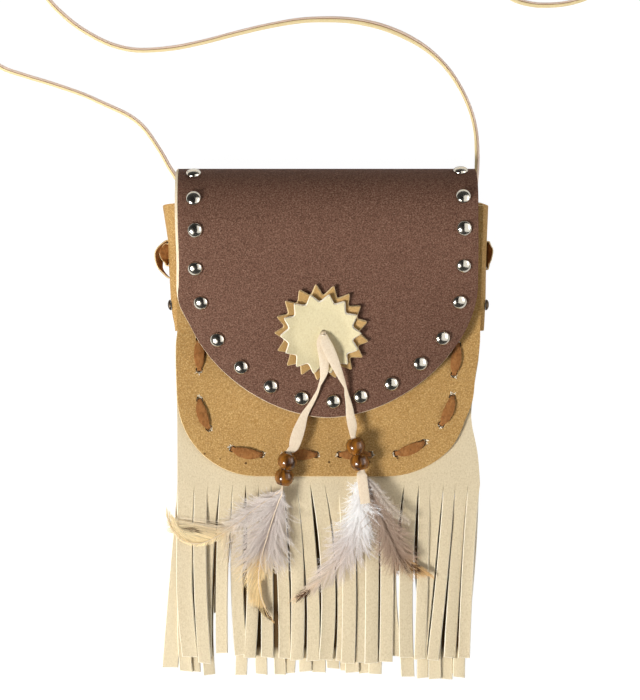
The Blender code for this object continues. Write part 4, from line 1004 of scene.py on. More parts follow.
def flap_rim(inset, end=FLAP_END, steps=FLAP_STEPS):
    """The flap's edge, or a line inside it, from the hinge at the left round to the hinge at the right."""
    depth = FLAP_SHOULDER - FLAP_TIP - inset
    bend_power = 2.0 / FLAP_EXPONENT
    rim = [(-FLAP_LEFT - FLAP_SKEW + inset, end)]
    for step in range(steps + 1):
        turn = math.pi * (1.0 + step / steps)
        half = (FLAP_LEFT if math.cos(turn) < 0 else FLAP_RIGHT) - inset
        x = math.copysign(abs(math.cos(turn)) ** bend_power * half, math.cos(turn))
        rim.append((x, FLAP_SHOULDER - abs(math.sin(turn)) ** bend_power * depth))
    return rim + [(FLAP_RIGHT - FLAP_SKEW - inset, end)]


STITCH_LINE = panel_rim(STITCH_INSET, MOUTH_Y - HOLE_RADIUS, SOLID_RIM_STEPS)
STITCH_HALF = STITCH_SPAN / 2 / line_length(STITCH_LINE)
STITCH_HOLES = [(walk(STITCH_LINE, share - STITCH_HALF), walk(STITCH_LINE, share + STITCH_HALF))
                for share in STITCH_SHARES]
HOLES = [hole[0] for pair in STITCH_HOLES for hole in pair]
LOWER_HOLES = [hole for hole in HOLES if hole[1] < BAND_TOP]


# Strap: its route in mm, out of the left gusset, over the table and into the right gusset
STRAP_ROUTE_LEFT = (
    (-74.4, 7.5, 4.9), (-73.2, 13.0, 5.8), (-72.3, 20.0, 7.0), (-72.2, 39.0, 10.2), (-72.0, 50.0, 12.2),
    (-71.8, 58.0, 13.2), (-72.6, 65.0, 13.2), (-75.2, 70.5, 12.0), (-78.8, 76.0, 9.6), (-82.4, 82.4, 6.4),
    (-88.4, 91.5, 3.0), (-93.5, 97.6, 1.8), (-100.6, 102.7, 1.65), (-112.8, 108.3, 1.65))
STRAP_ROUTE_TABLE = (
    (-123.0, 112.8), (-138.3, 118.0), (-151.5, 122.0), (-163.8, 126.6), (-173.7, 135.8), (-177.2, 147.5),
    (-176.4, 161.0), (-172.7, 173.7), (-165.0, 184.2), (-153.0, 190.7), (-133.8, 193.2), (-83.9, 193.7),
    (-24.0, 193.2), (35.9, 193.7), (95.9, 193.7), (117.0, 193.0), (130.0, 188.4), (137.3, 180.0),
    (137.3, 170.0), (131.3, 162.2), (123.3, 159.0), (116.3, 157.6), (109.1, 157.2), (102.8, 157.5),
    (93.9, 159.7), (83.9, 165.2), (70.9, 171.5), (50.9, 176.3), (1.0, 177.2), (-48.9, 177.0), (-98.9, 178.4),
    (-124.0, 179.2), (-136.0, 177.8), (-142.6, 171.7), (-142.8, 165.0), (-138.6, 158.9), (-133.3, 153.4),
    (-125.0, 146.5), (-112.8, 139.4), (-102.7, 135.8), (-92.4, 134.6), (-77.1, 135.8), (-61.9, 138.9),
    (-46.6, 142.9), (-31.5, 146.5), (-16.0, 149.3), (-4.0, 150.1), (11.3, 149.6), (26.5, 146.5),
    (39.9, 141.0), (50.7, 134.2), (59.8, 125.2), (66.7, 114.6))
STRAP_ROUTE_RIGHT = (
    (71.4, 103.8, 1.8), (73.7, 93.5, 3.0), (74.1, 83.4, 6.2), (73.8, 75.5, 9.2), (73.2, 69.5, 11.6),
    (72.6, 63.0, 13.0), (72.0, 57.0, 13.0), (72.0, 50.0, 12.2), (72.2, 39.0, 10.2), (72.3, 20.0, 7.0),
    (73.2, 13.0, 5.8), (74.4, 7.5, 4.9))


def strap_line():
    """Evenly spaced places along the strap's route."""
    route = [Vector(point) * MM for point in STRAP_ROUTE_LEFT]
    route += [Vector((x * MM, y * MM, STRAP_LIFT)) for x, y in STRAP_ROUTE_TABLE]
    route += [Vector(point) * MM for point in STRAP_ROUTE_RIGHT]
    dense = [tuple(point) for point in denser(route, 12)]
    starts = [0.0]
    for a, b in zip(dense, dense[1:]):
        starts.append(starts[-1] + math.dist(a, b))
    places = []
    segment = 0
    for row in range(STRAP_ROWS):
        reach = starts[-1] * row / (STRAP_ROWS - 1)
        while segment < len(dense) - 2 and starts[segment + 1] < reach:
            segment += 1
        t = (reach - starts[segment]) / (starts[segment + 1] - starts[segment])
        place = Vector(dense[segment]).lerp(Vector(dense[segment + 1]), t)
        place.z = max(place.z, STRAP_LIFT)
        places.append(place)
    return places


def make_strap():
    """The folded lace, which leans to and fro a little and is broadest in the middle of what is seen."""
    places = strap_line()
    acrosses = []
    widths = []
    for row, place in enumerate(places):
        level = -level_across(ahead_at(places, row))
        share = row / (len(places) - 1)
        lean = math.radians(9.0 * math.sin(9.0 * share) + 7.0 * math.sin(31.0 * share + 1.0))
        acrosses.append(level * math.cos(lean) + Vector((0.0, 0.0, math.sin(lean))))
        x, y = place.x / MM, place.y / MM
        broad = 0.35 * math.exp(-((x - 25.0) / 42.0) ** 2 - ((y - 145.0) / 12.0) ** 2)
        slim = 0.06 * smooth((abs(x) - 55.0) / 12.0) * smooth((128.0 - y) / 15.0)
        widths.append(STRAP_NARROW * (1.0 + broad - slim + 0.07 * noise.noise(place * 60.0)))

    def slot_of(side, row):
        """The crease's painted shade, and the sides' painted light where they face the lower left and painted
        shade where they face away.
        """
        if side in ROOF_CREASE:
            return 1
        outward = acrosses[row] if side in ROOF_RIGHT_SIDE else -acrosses[row]
        return 2 if 0.55 * outward.x + 0.83 * outward.y > 0 else 0

    strap = ribbon("strap_lace", places, widths, acrosses, STRAP_HEIGHT,
                   [STRAP_LIT, STRAP_CREASE_SHADE, STRAP_SHADE_SIDE], ROOF_SECTION, slot_of, 0.02)
    for vertex in strap.data.vertices:
        vertex.co.z = max(vertex.co.z, 0.0)
    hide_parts("shoulder_strap")
    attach(strap, "pouch")
    tuple(places[0])
    line_length(places)
    [tuple(place) for place in places]


# Tassels
def flat_across(places):
    """Level crosswise directions along a line of places."""
    return [-level_across(ahead_at(places, row)) for row in range(len(places))]


def pale_edges(side, row):
    """The cut edges of a square lace have the second material, a pale edge that is partly painted highlight.
    """
    return 1 if side in SQUARE_EDGES else 0


def tassel_lace(name, side, waypoints, beads, tail):
    """A lace from behind the flap, out through the rosettes' hole and down through the beads."""
    x, y = LACE_EXIT
    start_y = y + side * (LACE_SHEET + GAP) / 2
    behind = -(SHEET / 2 + GAP + LACE_SHEET / 2)
    front = 2 * (SHEET + GAP) + OVER_LACE + (LACE_SHEET + GAP if side > 0 else 0.0)
    stops = [(start_y + side * TASSEL_HIDDEN, behind), (start_y + side * LACE_TURN, behind),
             (start_y, behind + LACE_TURN), (start_y, front - LACE_TURN), (start_y - LACE_TURN, front)]
    places = [raised(flap_place, lift)(x, stop_y) for stop_y, lift in stops]
    widths = [LACE_NECK] * len(places)
    for px, py, lift, width in waypoints:
        under = (px * MM, max(py * MM, FLAP_TIP))
        ground = flap_place(*under)
        tilt = surface_normal(flap_place, *under).z
        places.append(Vector((px * MM, py * MM, ground.z + lift * MM / tilt)))
        widths.append(width * MM)
    places += beads + tail
    widths += [THREADED_WIDTH] * len(beads) + [TASSEL_TAIL_WIDTH] * len(tail)
    acrosses = [Vector((1.0, 0.0, 0.0))] * len(stops) + flat_across(places)[len(stops):]
    steps = 5
    dense = denser(places, steps)
    lace = ribbon(name, dense, denser(widths, steps), denser(acrosses, steps), LACE_SHEET,
                  [PALE_LACE, CREAM_EDGE_HIGHLIT], SQUARE_SECTION, pale_edges, 0.04)
    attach(lace, "flap_body")
    return lace, dense


def make_bead(name, node, centre, axis):
    """A rounded bead with a bore, turned from its profile of (radius, height) pairs."""
    half = BEAD_LENGTH / 2
    lip = [(BORE_RADIUS, 0.9), (BORE_RADIUS + 0.3 * MM, 0.99), (BORE_RADIUS + 0.8 * MM, 1.0)]
    profile = [(radius, half * share) for radius, share in lip]
    for angle in range(52, -53, -8):
        turn = math.radians(angle)
        height = half * math.sin(turn) / math.sin(math.radians(62))
        profile.append((BEAD_RADIUS * math.cos(turn) ** 0.8, height))
    profile += [(radius, -half * share) for radius, share in reversed(lip)]
    profile.append(profile[0])
    bead = turned(name, profile, 40, WOOD, centre, axis, 0.012)
    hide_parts(node)
    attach(bead, "flap_body")
    return bead


def bead_row(first, axis):
    heading = Vector(axis).normalized()
    start = Vector(first) * MM
    return [start, start + heading * (BEAD_LENGTH + GAP)], heading


def quill_stops(bead_centre, heading, sideways, upward):
    """A quill from inside a bead's bore to just past its lower face."""
    across = level_across(heading)
    up = across.cross(heading).normalized()
    if up.z < 0:
        up = -up
    offset = across * sideways * MM + up * upward * MM
    stops = [bead_centre + heading * reach * MM + offset for reach in (0.8, 5.0)]
    return [(stop.x / MM, stop.y / MM, stop.z / MM, 0.0) for stop in stops]


class Plume:
    """Collects a feather's fibres: their vertices, faces, colours and the way that each faces."""

    def __init__(self, seed):
        self.dice = random.Random(seed)
        self.vertices, self.faces, self.tones, self.slots, self.normals = [], [], [], [], []

    def fibre(self, points, root_width, tip_width, tones, facing):
        """A flat fibre along points, tapering, with a colour at each."""
        start = len(self.vertices)
        last = len(points) - 1
        for index, point in enumerate(points):
            across = ahead_at(points, index).cross(facing).normalized()
            half = mix(root_width, tip_width, index / last) / 2
            self.vertices += [point - across * half, point + across * half]
            self.tones += [tones[index], tones[index]]
            self.normals += [facing, facing]
        for index in range(last):
            a = start + 2 * index
            self.faces.append((a, a + 1, a + 3, a + 2))
            self.slots.append(0)

    def hair(self, root, tip, width, tone, facing):
        """A short hair on a barb."""
        start = len(self.vertices)
        across = (tip - root).cross(facing).normalized() * width / 2
        self.vertices += [root - across, root + across, tip]
        self.tones += [tone] * 3
        self.normals += [facing] * 3
        self.faces.append((start, start + 1, start + 2))
        self.slots.append(0)

    def shaft(self, points, root_radius, tip_radius):
        """The quill and its shaft, a thin tapering tube."""
        sides = 6
        start = len(self.vertices)
        last = len(points) - 1
        for index, point in enumerate(points):
            ahead = ahead_at(points, index).normalized()
            across = level_across(ahead)
            up = ahead.cross(across)
            radius = mix(root_radius, tip_radius, index / last)
            for side in range(sides):
                turn = math.tau * side / sides
                out = across * math.cos(turn) + up * math.sin(turn)
                self.vertices.append(point + out * radius)
                self.tones.append(WHITE)
                self.normals.append(out)
        for index in range(last):
            for side in range(sides):
                a = start + index * sides + side
                b = start + index * sides + (side + 1) % sides
                self.faces.append((a, b, b + sides, a + sides))
                self.slots.append(1)
        self.faces.append(tuple(start + side for side in range(sides)))
        self.faces.append(tuple(start + last * sides + side for side in reversed(range(sides))))
        self.slots += [1, 1]

    def finish(self, name):
        piece = add_piece(name, self.vertices, self.faces, [PLUME, QUILL], self.slots, 60.0)
        layer = piece.data.color_attributes.new("plume_tone", "FLOAT_COLOR", "POINT")
        layer.data.foreach_set("color", [value for tone in self.tones for value in tone])
        piece.data.normals_split_custom_set_from_vertices([tuple(normal) for normal in self.normals])
        return piece


def feather_style(core, edge, **values):
    """A feather's look. core and edge are (share, colour) stops along it, for barbs' roots and tips."""
    tones = [[(share, *display_colour(*colour)) for share, colour in stops] for stops in (core, edge)]
    return {"core": tones[0], "edge": tones[1], **values}


def down_barb(dice, style, share, half, reach):
    """A loose barb of down: its angle, length, lift, curl, sway and its widths at root and tip."""
    angle = math.radians(max(14.0, style["down_angle"] + dice.gauss(0.0, style["wild"])))
    length = half * reach / math.sin(math.radians(style["down_angle"])) * (1.0 + dice.gauss(0.0, 0.18))
    lift = dice.uniform(-0.1, 1.0) * style["fluff"] * MM * smooth(share / 0.3 + 0.15)
    return angle, length, lift, dice.gauss(-0.3, 0.35), 0.06, [width * MM for width in style["barb"]]


def vane_barb(dice, style, share, reach):
    """A barb of the closed vane, which draws together in clumps: the same things of it."""
    along_vane = (share - style["down_end"]) / (1.0 - style["down_end"])
    clump = (math.floor(along_vane * style["clumps"]) + 0.5) / style["clumps"]
    pull = (clump - along_vane) * style["clumps"]
    angle = math.radians(mix(*style["vane_angles"], along_vane) + 9.0 * pull + dice.gauss(0.0, 2.0))
    length = mix(*style["vane_lengths"], along_vane) * MM * reach * (1.0 + dice.gauss(0.0, 0.06))
    lift = dice.uniform(0.0, 1.0) * 0.5 * MM
    return angle, length, lift, style["vane_curl"], 0.008, VANE_BARB_WIDTHS


def barb_points(dice, root, ahead, side, angle, length, lift, curl, sway):
    """The places along a barb, which leaves the shaft at an angle, bends, and rises and sinks again."""
    points = [root]
    across = level_across(ahead) * side
    for step in range(1, BARB_SEGMENTS + 1):
        t = step / BARB_SEGMENTS
        angle += curl / BARB_SEGMENTS + dice.gauss(0.0, sway)
        way = ahead * math.cos(angle) + across * math.sin(angle)
        rise = lift * (math.sin(math.pi * 0.75 * t) - math.sin(math.pi * 0.75 * (t - 1 / BARB_SEGMENTS)))
        points.append(points[-1] + way * (length / BARB_SEGMENTS) + Vector((0.0, 0.0, rise)))
    for point in points:
        point.z = max(point.z, PLUME_FLOOR)
    return points


def add_hairs(plume, count, points, tones, facing):
    """Short hairs in pairs along a barb of down."""
    dice = plume.dice
    for hair in range(count):
        t = (hair + dice.random()) / count
        place = t * BARB_SEGMENTS
        low = min(int(place), BARB_SEGMENTS - 1)
        base = points[low].lerp(points[low + 1], place - low)
        along = (points[low + 1] - points[low]).normalized()
        for way in (-1.0, 1.0):
            out = level_across(along) * way
            reach = dice.uniform(0.5, 1.35) * MM * (1.0 - 0.45 * t)
            tip = base + (along * 0.9 + out * 0.8 + Vector((0.0, 0.0, dice.uniform(-0.3, 0.5)))) * reach
            tip.z = max(tip.z, PLUME_FLOOR)
            plume.hair(base, tip, HAIR_WIDTH, tones[low], facing)


def add_barb(plume, style, share, side, reach, root, ahead, half):
    """One barb at a share of the way along the shaft, of down or of the vane, if there is one there."""
    dice = plume.dice
    is_down = share < style["down_end"] + dice.gauss(0.0, 0.035)
    if reach * half < LEAST_REACH or (not is_down and dice.random() < style["thin_out"]):
        return
    inner = value_at(style["core"], share)
    outer = value_at(style["edge"], share)
    shade = 1.0 + dice.gauss(0.0, 0.06 if is_down else 0.11)
    drawn = down_barb(dice, style, share, half, reach) if is_down else vane_barb(dice, style, share, reach)
    angle, length, lift, curl, sway, widths = drawn
    length = max(length, LEAST_BARB)
    points = barb_points(dice, root, ahead, side, angle, length, lift, curl, sway)
    tones = [tuple(mix(a, b, (step / BARB_SEGMENTS) ** 0.8) * shade for a, b in zip(inner, outer))
             for step in range(BARB_SEGMENTS + 1)]
    if not is_down and dice.random() < 0.7:
        x0, x1, y0, y1 = style["dark_patch"]
        tones = [PLUME_DARK if x0 < point.x / MM < x1 and y0 < point.y / MM < y1 else tone
                 for point, tone in zip(points, tones)]
    facing = Vector((dice.gauss(0.0, 0.18), dice.gauss(0.0, 0.18), 1.0)).normalized()
    plume.fibre(points, *widths, tones, facing)
    if is_down:
        add_hairs(plume, int(style["hairs"] * length / HAIR_PITCH), points, tones, facing)


def make_feather(name, node, stops, style, seed):
    """A feather along (x, y, z, width) stops, of down near the quill and of closer barbs at its tip."""
    plume = Plume(seed)
    steps = 10
    line = denser([Vector((x, y, z)) * MM for x, y, z, _ in stops], steps)
    spreads = denser([width * MM for _, _, _, width in stops], steps)
    last = len(line) - 1
    plume.shaft([point + Vector((0.0, 0.0, style["shaft_rise"] * MM * smooth(index / 20)))
                 for index, point in enumerate(line)], style["shaft"] * MM, SHAFT_TIP_RADIUS)
    count = int(line_length(line) / (style["pitch"] * MM))
    for number in range(count):
        share = mix(style["bare"], 0.995, (number + plume.dice.random() * 0.8) / count)
        spot = share * last
        index = min(int(spot), last - 1)
        root = line[index].lerp(line[index + 1], spot - index)
        ahead = (line[index + 1] - line[index]).normalized()
        half = mix(spreads[index], spreads[index + 1], spot - index) / 2
        for side, reach in zip((-1.0, 1.0), value_at(style["sides"], share)):
            add_barb(plume, style, share, side, reach, root, ahead, half)
    piece = plume.finish(name)
    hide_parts(node)
    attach(piece, "flap_body")
    return piece


# Feathers. Lengths and widths are in mm, angles in degrees. sides are (share, left, right) stops of how
# far the barbs reach, down_end is the share where the vane begins, and dark_patch is in x, x, y, y.
PLUME_DARK = display_colour(84, 58, 40)
OCHRE = (214, 184, 132)
STYLE_A = feather_style(
    core=((0.0, (216, 206, 198)), (0.25, (192, 178, 170)), (0.55, (188, 172, 162)), (0.64, OCHRE),
          (0.88, OCHRE), (1.0, (222, 186, 128))),
    edge=((0.0, (234, 228, 223)), (0.3, (228, 220, 213)), (0.55, (220, 209, 197)), (0.64, (236, 214, 166)),
          (0.88, (232, 202, 146)), (1.0, (226, 192, 134))),
    sides=((0.0, 1.0, 1.0), (0.2, 1.2, 1.1), (0.5, 1.1, 1.05), (0.62, 1.1, 0.8), (0.75, 1.5, 0.5),
           (1.0, 1.3, 0.5)),
    shaft=0.44, shaft_rise=1.6, bare=0.05, pitch=0.11, down_angle=47.0, wild=13.0,
    barb=(0.17, 0.05), hairs=1.3, down_end=0.63, fluff=3.2, vane_angles=(34.0, 18.0),
    vane_lengths=(12.0, 3.0), vane_curl=-0.42, clumps=3, thin_out=0.0,
    dark_patch=(-40.0, -28.0, -149.5, -143.0), slot="grey_feather")
STYLE_B = feather_style(
    core=((0.0, (216, 204, 196)), (0.35, (206, 192, 182)), (0.5, (208, 184, 144)), (0.62, (226, 202, 152)),
          (1.0, (230, 206, 158))),
    edge=((0.0, (232, 224, 218)), (0.35, (228, 220, 210)), (0.5, (226, 208, 170)), (0.62, (244, 226, 184)),
          (1.0, (244, 226, 186))),
    sides=((0.0, 1.0, 1.0), (0.43, 1.0, 0.8), (0.50, 1.0, 0.14), (1.0, 1.0, 0.12)),
    shaft=0.36, shaft_rise=1.0, bare=0.05, pitch=0.12, down_angle=46.0, wild=13.0,
    barb=(0.17, 0.05), hairs=1.3, down_end=0.45, fluff=2.6, vane_angles=(48.0, 30.0),
    vane_lengths=(27.0, 3.5), vane_curl=-0.14, clumps=5, thin_out=0.35,
    dark_patch=(-72.5, -64.5, -105.8, -103.4), slot="ochre_feather")
STYLE_C = feather_style(
    core=((0.0, (245, 243, 240)), (0.5, (241, 238, 235)), (0.66, (212, 199, 190)), (0.88, (204, 184, 164)),
          (1.0, (206, 176, 138))),
    edge=((0.0, (246, 244, 242)), (0.5, (242, 240, 238)), (0.66, (222, 212, 205)), (0.88, (214, 198, 180)),
          (1.0, (218, 190, 152))),
    sides=((0.0, 1.1, 0.9), (0.15, 1.0, 1.0), (0.35, 1.0, 1.05), (0.5, 0.9, 1.1), (0.62, 1.1, 1.2),
           (0.75, 1.2, 1.2), (1.0, 1.0, 0.8)),
    shaft=0.26, shaft_rise=-0.6, bare=0.03, pitch=0.10, down_angle=46.0, wild=20.0,
    barb=(0.14, 0.04), hairs=1.2, down_end=0.74, fluff=3.8, vane_angles=(30.0, 12.0),
    vane_lengths=(14.0, 6.0), vane_curl=-0.1, clumps=5, thin_out=0.45,
    dark_patch=(-16.0, -9.0, -141.0, -134.0), slot="grey_feather")
STYLE_D = feather_style(
    core=((0.0, (196, 182, 174)), (0.3, (162, 140, 124)), (0.72, (154, 128, 108)), (0.82, (118, 82, 48)),
          (1.0, (150, 108, 66))),
    edge=((0.0, (214, 202, 194)), (0.3, (186, 166, 150)), (0.72, (180, 154, 132)), (0.82, (214, 174, 118)),
          (1.0, (222, 186, 132))),
    sides=((0.0, 1.0, 1.0), (0.5, 1.15, 1.0), (0.68, 1.1, 1.0), (1.0, 0.9, 1.1)),
    shaft=0.26, shaft_rise=-0.4, bare=0.05, pitch=0.12, down_angle=44.0, wild=14.0,
    barb=(0.17, 0.05), hairs=1.2, down_end=0.76, fluff=3.0, vane_angles=(34.0, 16.0),
    vane_lengths=(12.5, 5.5), vane_curl=-0.6, clumps=4, thin_out=0.45,
    dark_patch=(36.0, 46.0, -126.0, -119.0), slot="ochre_feather")
STYLE_E = feather_style(
    core=((0.0, (112, 96, 88)), (0.2, (150, 136, 126)), (0.5, (176, 162, 150)), (1.0, (196, 178, 156))),
    edge=((0.0, (206, 198, 192)), (0.25, (220, 212, 206)), (1.0, (218, 204, 184))),
    sides=((0.0, 2.4, 2.4), (0.3, 1.5, 1.5), (0.7, 1.15, 1.15), (1.0, 0.9, 0.9)),
    shaft=0.24, shaft_rise=-0.2, bare=0.03, pitch=0.2, down_angle=50.0, wild=12.0,
    barb=(0.2, 0.06), hairs=0.6, down_end=1.2, fluff=1.6, vane_angles=(50.0, 42.0),
    vane_lengths=(1.9, 1.9), vane_curl=-0.25, clumps=1, thin_out=0.0,
    dark_patch=(0.0, 0.0, 0.0, 0.0), slot="grey_feather")

# Each route: x, y, height and width
FEATHER_A = ((-22.9, -86.5, 11.0, 3.0), (-24.4, -90.0, 9.2, 13.0), (-27.2, -98.0, 8.2, 22.0),
             (-30.0, -107.0, 8.0, 24.0), (-32.6, -116.0, 7.6, 20.0), (-34.2, -124.0, 7.2, 15.0),
             (-34.4, -132.0, 6.6, 10.0), (-32.4, -140.5, 6.3, 6.5), (-28.6, -147.4, 6.1, 1.2))
FEATHER_B = ((-24.6, -85.6, 8.8, 2.0), (-28.9, -88.6, 7.2, 8.0), (-36.3, -93.9, 6.4, 13.0),
             (-43.8, -100.1, 6.0, 11.0), (-49.8, -104.6, 5.6, 6.0), (-54.5, -107.4, 5.4, 5.0),
             (-59.7, -110.0, 5.3, 5.0), (-64.8, -111.2, 5.2, 6.0), (-70.7, -110.4, 5.2, 6.0),
             (-74.6, -107.8, 5.2, 5.0), (-78.1, -103.4, 5.2, 4.0), (-80.7, -96.8, 5.2, 1.2))
FEATHER_C = ((16.0, -78.5, 9.4, 2.0), (15.9, -82.5, 8.6, 8.0), (15.9, -89.0, 7.8, 13.0),
             (15.4, -97.1, 7.8, 16.0), (13.4, -104.5, 8.0, 16.0), (9.8, -112.0, 7.8, 14.0),
             (5.0, -119.5, 7.6, 12.0), (-4.0, -129.5, 7.0, 7.0), (-15.0, -138.2, 6.6, 1.2))
FEATHER_D = ((18.0, -78.5, 9.2, 1.0), (20.0, -83.0, 8.8, 6.0), (23.2, -90.0, 8.6, 11.0),
             (27.4, -99.0, 8.4, 14.0), (30.8, -106.8, 8.0, 15.0), (34.2, -114.8, 7.4, 13.0),
             (38.0, -119.6, 6.8, 9.0), (42.6, -122.8, 6.6, 6.0), (47.6, -125.4, 6.4, 1.2))
FEATHER_E = ((19.2, -78.0, 11.4, 1.0), (21.0, -80.5, 11.2, 2.2), (24.4, -84.4, 10.8, 3.4),
             (28.6, -90.4, 10.4, 4.2), (34.0, -96.0, 10.0, 4.2), (40.2, -100.6, 9.6, 2.2))


# Where the tassel laces lie: x, y, height over the flap and width, in mm
LEFT_LACE = ((-2.7, -7.9, 4.0, 3.2), (-3.4, -11.4, 4.8, 4.5), (-2.7, -15.6, 5.4, 4.8),
             (-2.0, -20.0, 5.4, 4.8), (-2.0, -25.0, 5.0, 4.2), (-2.7, -28.6, 4.2, 2.6),
             (-4.1, -32.0, 3.2, 1.4), (-5.0, -35.0, 2.5, 1.4), (-7.1, -39.3, 2.0, 2.1),
             (-9.1, -42.8, 1.8, 2.5), (-11.7, -47.2, 1.8, 3.6), (-14.1, -53.8, 2.0, 5.6),
             (-15.9, -59.2, 2.2, 5.9), (-17.3, -63.4, 2.2, 4.6))
RIGHT_LACE = ((-2.0, -7.9, 5.1, 3.2), (-1.1, -11.6, 6.2, 5.2), (0.7, -15.6, 6.9, 5.5), (2.3, -19.2, 7.0, 5.2),
              (4.3, -23.7, 6.4, 4.3), (7.0, -29.9, 4.6, 2.6), (8.5, -33.7, 3.4, 1.4), (9.3, -37.6, 2.6, 2.3),
              (10.3, -42.2, 2.2, 3.3), (10.9, -46.8, 2.0, 4.1), (12.0, -52.6, 1.9, 4.5))
RIGHT_TAIL = ((16.6, -76.6, 13.4), (17.1, -80.5, 13.0), (17.7, -85.5, 12.2), (18.5, -90.9, 11.6))
# How they pass through the beads: which bead, how far past its middle and how far above it, in mm
LEFT_THREADING = ((0, -5.0, 0.0), (0, -2.0, 0.0), (1, -0.8, 0.0))
RIGHT_THREADING = ((0, -5.2, 0.8), (0, -2.0, 0.8), (1, 2.0, 0.8), (1, 4.6, 0.8))
# Each feather: its letter, its quill's place in the bore sideways and upwards, route, style and seed
LEFT_FEATHERS = (("a", 0.0, 0.8, FEATHER_A, STYLE_A, 11), ("b", 0.0, -0.8, FEATHER_B, STYLE_B, 12))
RIGHT_FEATHERS = (("c", -1.0, -0.8, FEATHER_C, STYLE_C, 13), ("d", 0.0, -0.8, FEATHER_D, STYLE_D, 14),
                  ("e", 1.0, -0.8, FEATHER_E, STYLE_E, 15))


def make_tassel(label, side, bead, axis, stops, threading, tail, feathers):
    """A lace out of the rosettes' hole, two beads on it, and feathers with their quills in the lower one."""
    centres, heading = bead_row(bead, axis)
    beads = [make_bead(f"bead_{label[0]}{number + 1}", f"bead_{label}_{number + 1}", centre, heading)
             for number, centre in enumerate(centres)]
    through = [centres[which] + heading * reach * MM + Vector((0.0, 0.0, rise * MM))
               for which, reach, rise in threading]
    lace, path = tassel_lace(f"{label}_lace", side, stops, through, [Vector(place) * MM for place in tail])
    for letter, aside, upward, route, style, seed in feathers:
        quill = quill_stops(centres[1], heading, aside, upward)
        make_feather(f"plume_{letter}", f"feather_{letter}", quill + list(route), style, seed)
    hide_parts(f"tassel_lace_{label}")
    tuple(path[0])
    line_length(path)
    [tuple(place) for place in path]


# Sheets
def declare_sheet(outline):
    """Works out the width, length and area of a piece's flat outline; nothing more is done with them."""
    width, length = (max(values) - min(values) for values in zip(*outline))
    area = abs(doubled_area(outline)) / 2


def make_back_and_flap():
    """One hide from the flap's lower edge, over the roll and down the back."""
    rim = flap_rim(0.0)
    curl_end = FLAP_END + CURL_LENGTH
    back = [(x, curl_end + CURL_START - y) for x, y in panel_rim(BACK_MARGIN, CURL_START)]
    outline = rim + [(rim[-1][0], curl_end)] + list(reversed(back))[1:-1] + [(rim[0][0], curl_end)]
    holes = [circle(LACE_HOLE, LACE_HOLE_RADIUS, 12)]
    holes += [circle((x, curl_end + CURL_START - y), PUNCH_RADIUS, 10) for x, y in LOWER_HOLES]

    def slant(x, v):
        """How much of the cut edge shows from above, most at the upper left and least at the right."""
        left = smooth((-x - 55 * MM) / (12 * MM)) * smooth((v - 8 * MM) / (10 * MM))
        left *= smooth((FLAP_END - v) / (9 * MM))
        right = smooth((x - 60 * MM) / (8 * MM)) * smooth((v + 25 * MM) / (15 * MM))
        return (0.03 + 0.42 * (1.0 - right) + 0.9 * left) * MM

    piece = cut_sheet("back_and_flap", outline, holes, back_and_flap_place, SHEET, PANEL_NET,
                      [BROWN, FLAP_EDGE, BROWN_FLESH], slant, FLAP_EDGE_NET)
    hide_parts("back_panel", "flap")
    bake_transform(piece)
    declare_sheet(outline)


def make_front_panel():
    """The bulging front, punched for the running lace."""

    def slant(x, y):
        """How much of the cut edge shows from above, most at the lower left."""
        plain = max(smooth((y + 12 * MM) / (10 * MM)), smooth((x - 15 * MM) / (30 * MM)))
        return (0.35 - 0.32 * plain) * MM

    holes = [circle(hole, PUNCH_RADIUS, 12) for hole in HOLES]
    outline = panel_rim(0.0, MOUTH_Y)
    piece = cut_sheet("front_panel_hide", outline, holes, front_place, SHEET, PANEL_NET,
                      [TAN, TAN_EDGE_HIGHLIT, TAN], slant, FRONT_EDGE_NET)
    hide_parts("front_panel")
    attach(piece, "pouch")
    declare_sheet(outline)


def make_torn_lips():
    """Pale frayed leather that stands up at the outer ends of the punched holes."""
    dice = random.Random(21)
    vertices = []
    faces = []
    for entry, leave in STITCH_HOLES:
        for (hole, direction), outward in ((entry, -1.0), (leave, 1.0)):
            for _ in range(6):
                turn = math.atan2(direction[1] * outward, direction[0] * outward) + dice.uniform(-1.0, 1.0)
                reach = PUNCH_RADIUS + dice.uniform(-0.35, 0.1) * MM
                length = dice.uniform(0.5, 1.2) * MM
                wide = dice.uniform(0.25, 0.5) * MM
                lift = dice.uniform(0.2, 0.8) * MM
                out = (math.cos(turn), math.sin(turn))
                over = raised(front_place, SHEET / 2)
                base_x, base_y = hole[0] + out[0] * reach, hole[1] + out[1] * reach
                root = over(base_x, base_y) - Vector((0.0, 0.0, 0.25 * MM))
                along = Vector((out[0], out[1], 0.0)) * length * dice.choice((-0.5, 1.0))
                aside = Vector((-out[1], out[0], 0.0)) * wide
                tip = root + along + Vector((0.0, 0.0, lift + 0.25 * MM))
                start = len(vertices)
                vertices += [root - aside, root + aside, root + Vector((0.0, 0.0, 0.35 * MM)), tip]
                faces += [(start, start + 1, start + 3), (start + 1, start + 2, start + 3),
                          (start + 2, start, start + 3), (start, start + 2, start + 1)]
    # The lips take the pale cut edge, partly painted highlight
    piece = add_piece("torn_lips", vertices, faces, [CREAM_EDGE_HIGHLIT])
    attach(piece, "pouch")


def gusset_reach(side, y):
    return GUSSET_ROOT + value_at(WALL_OUT_LEFT if side < 0 else WALL_OUT_RIGHT, y / MM)[0] * MM


def gusset_section(side, y):
    """The middle and the half axes of the gusset's bent wall at one height of the bag."""
    front = front_place(side * GUSSET_ROOT, y).z - FLANGE_LIFT
    back = back_height(y) + SHEET + GAP
    return (front + back) / 2, gusset_reach(side, y) - SHEET / 2 - GUSSET_ROOT, (front - back) / 2


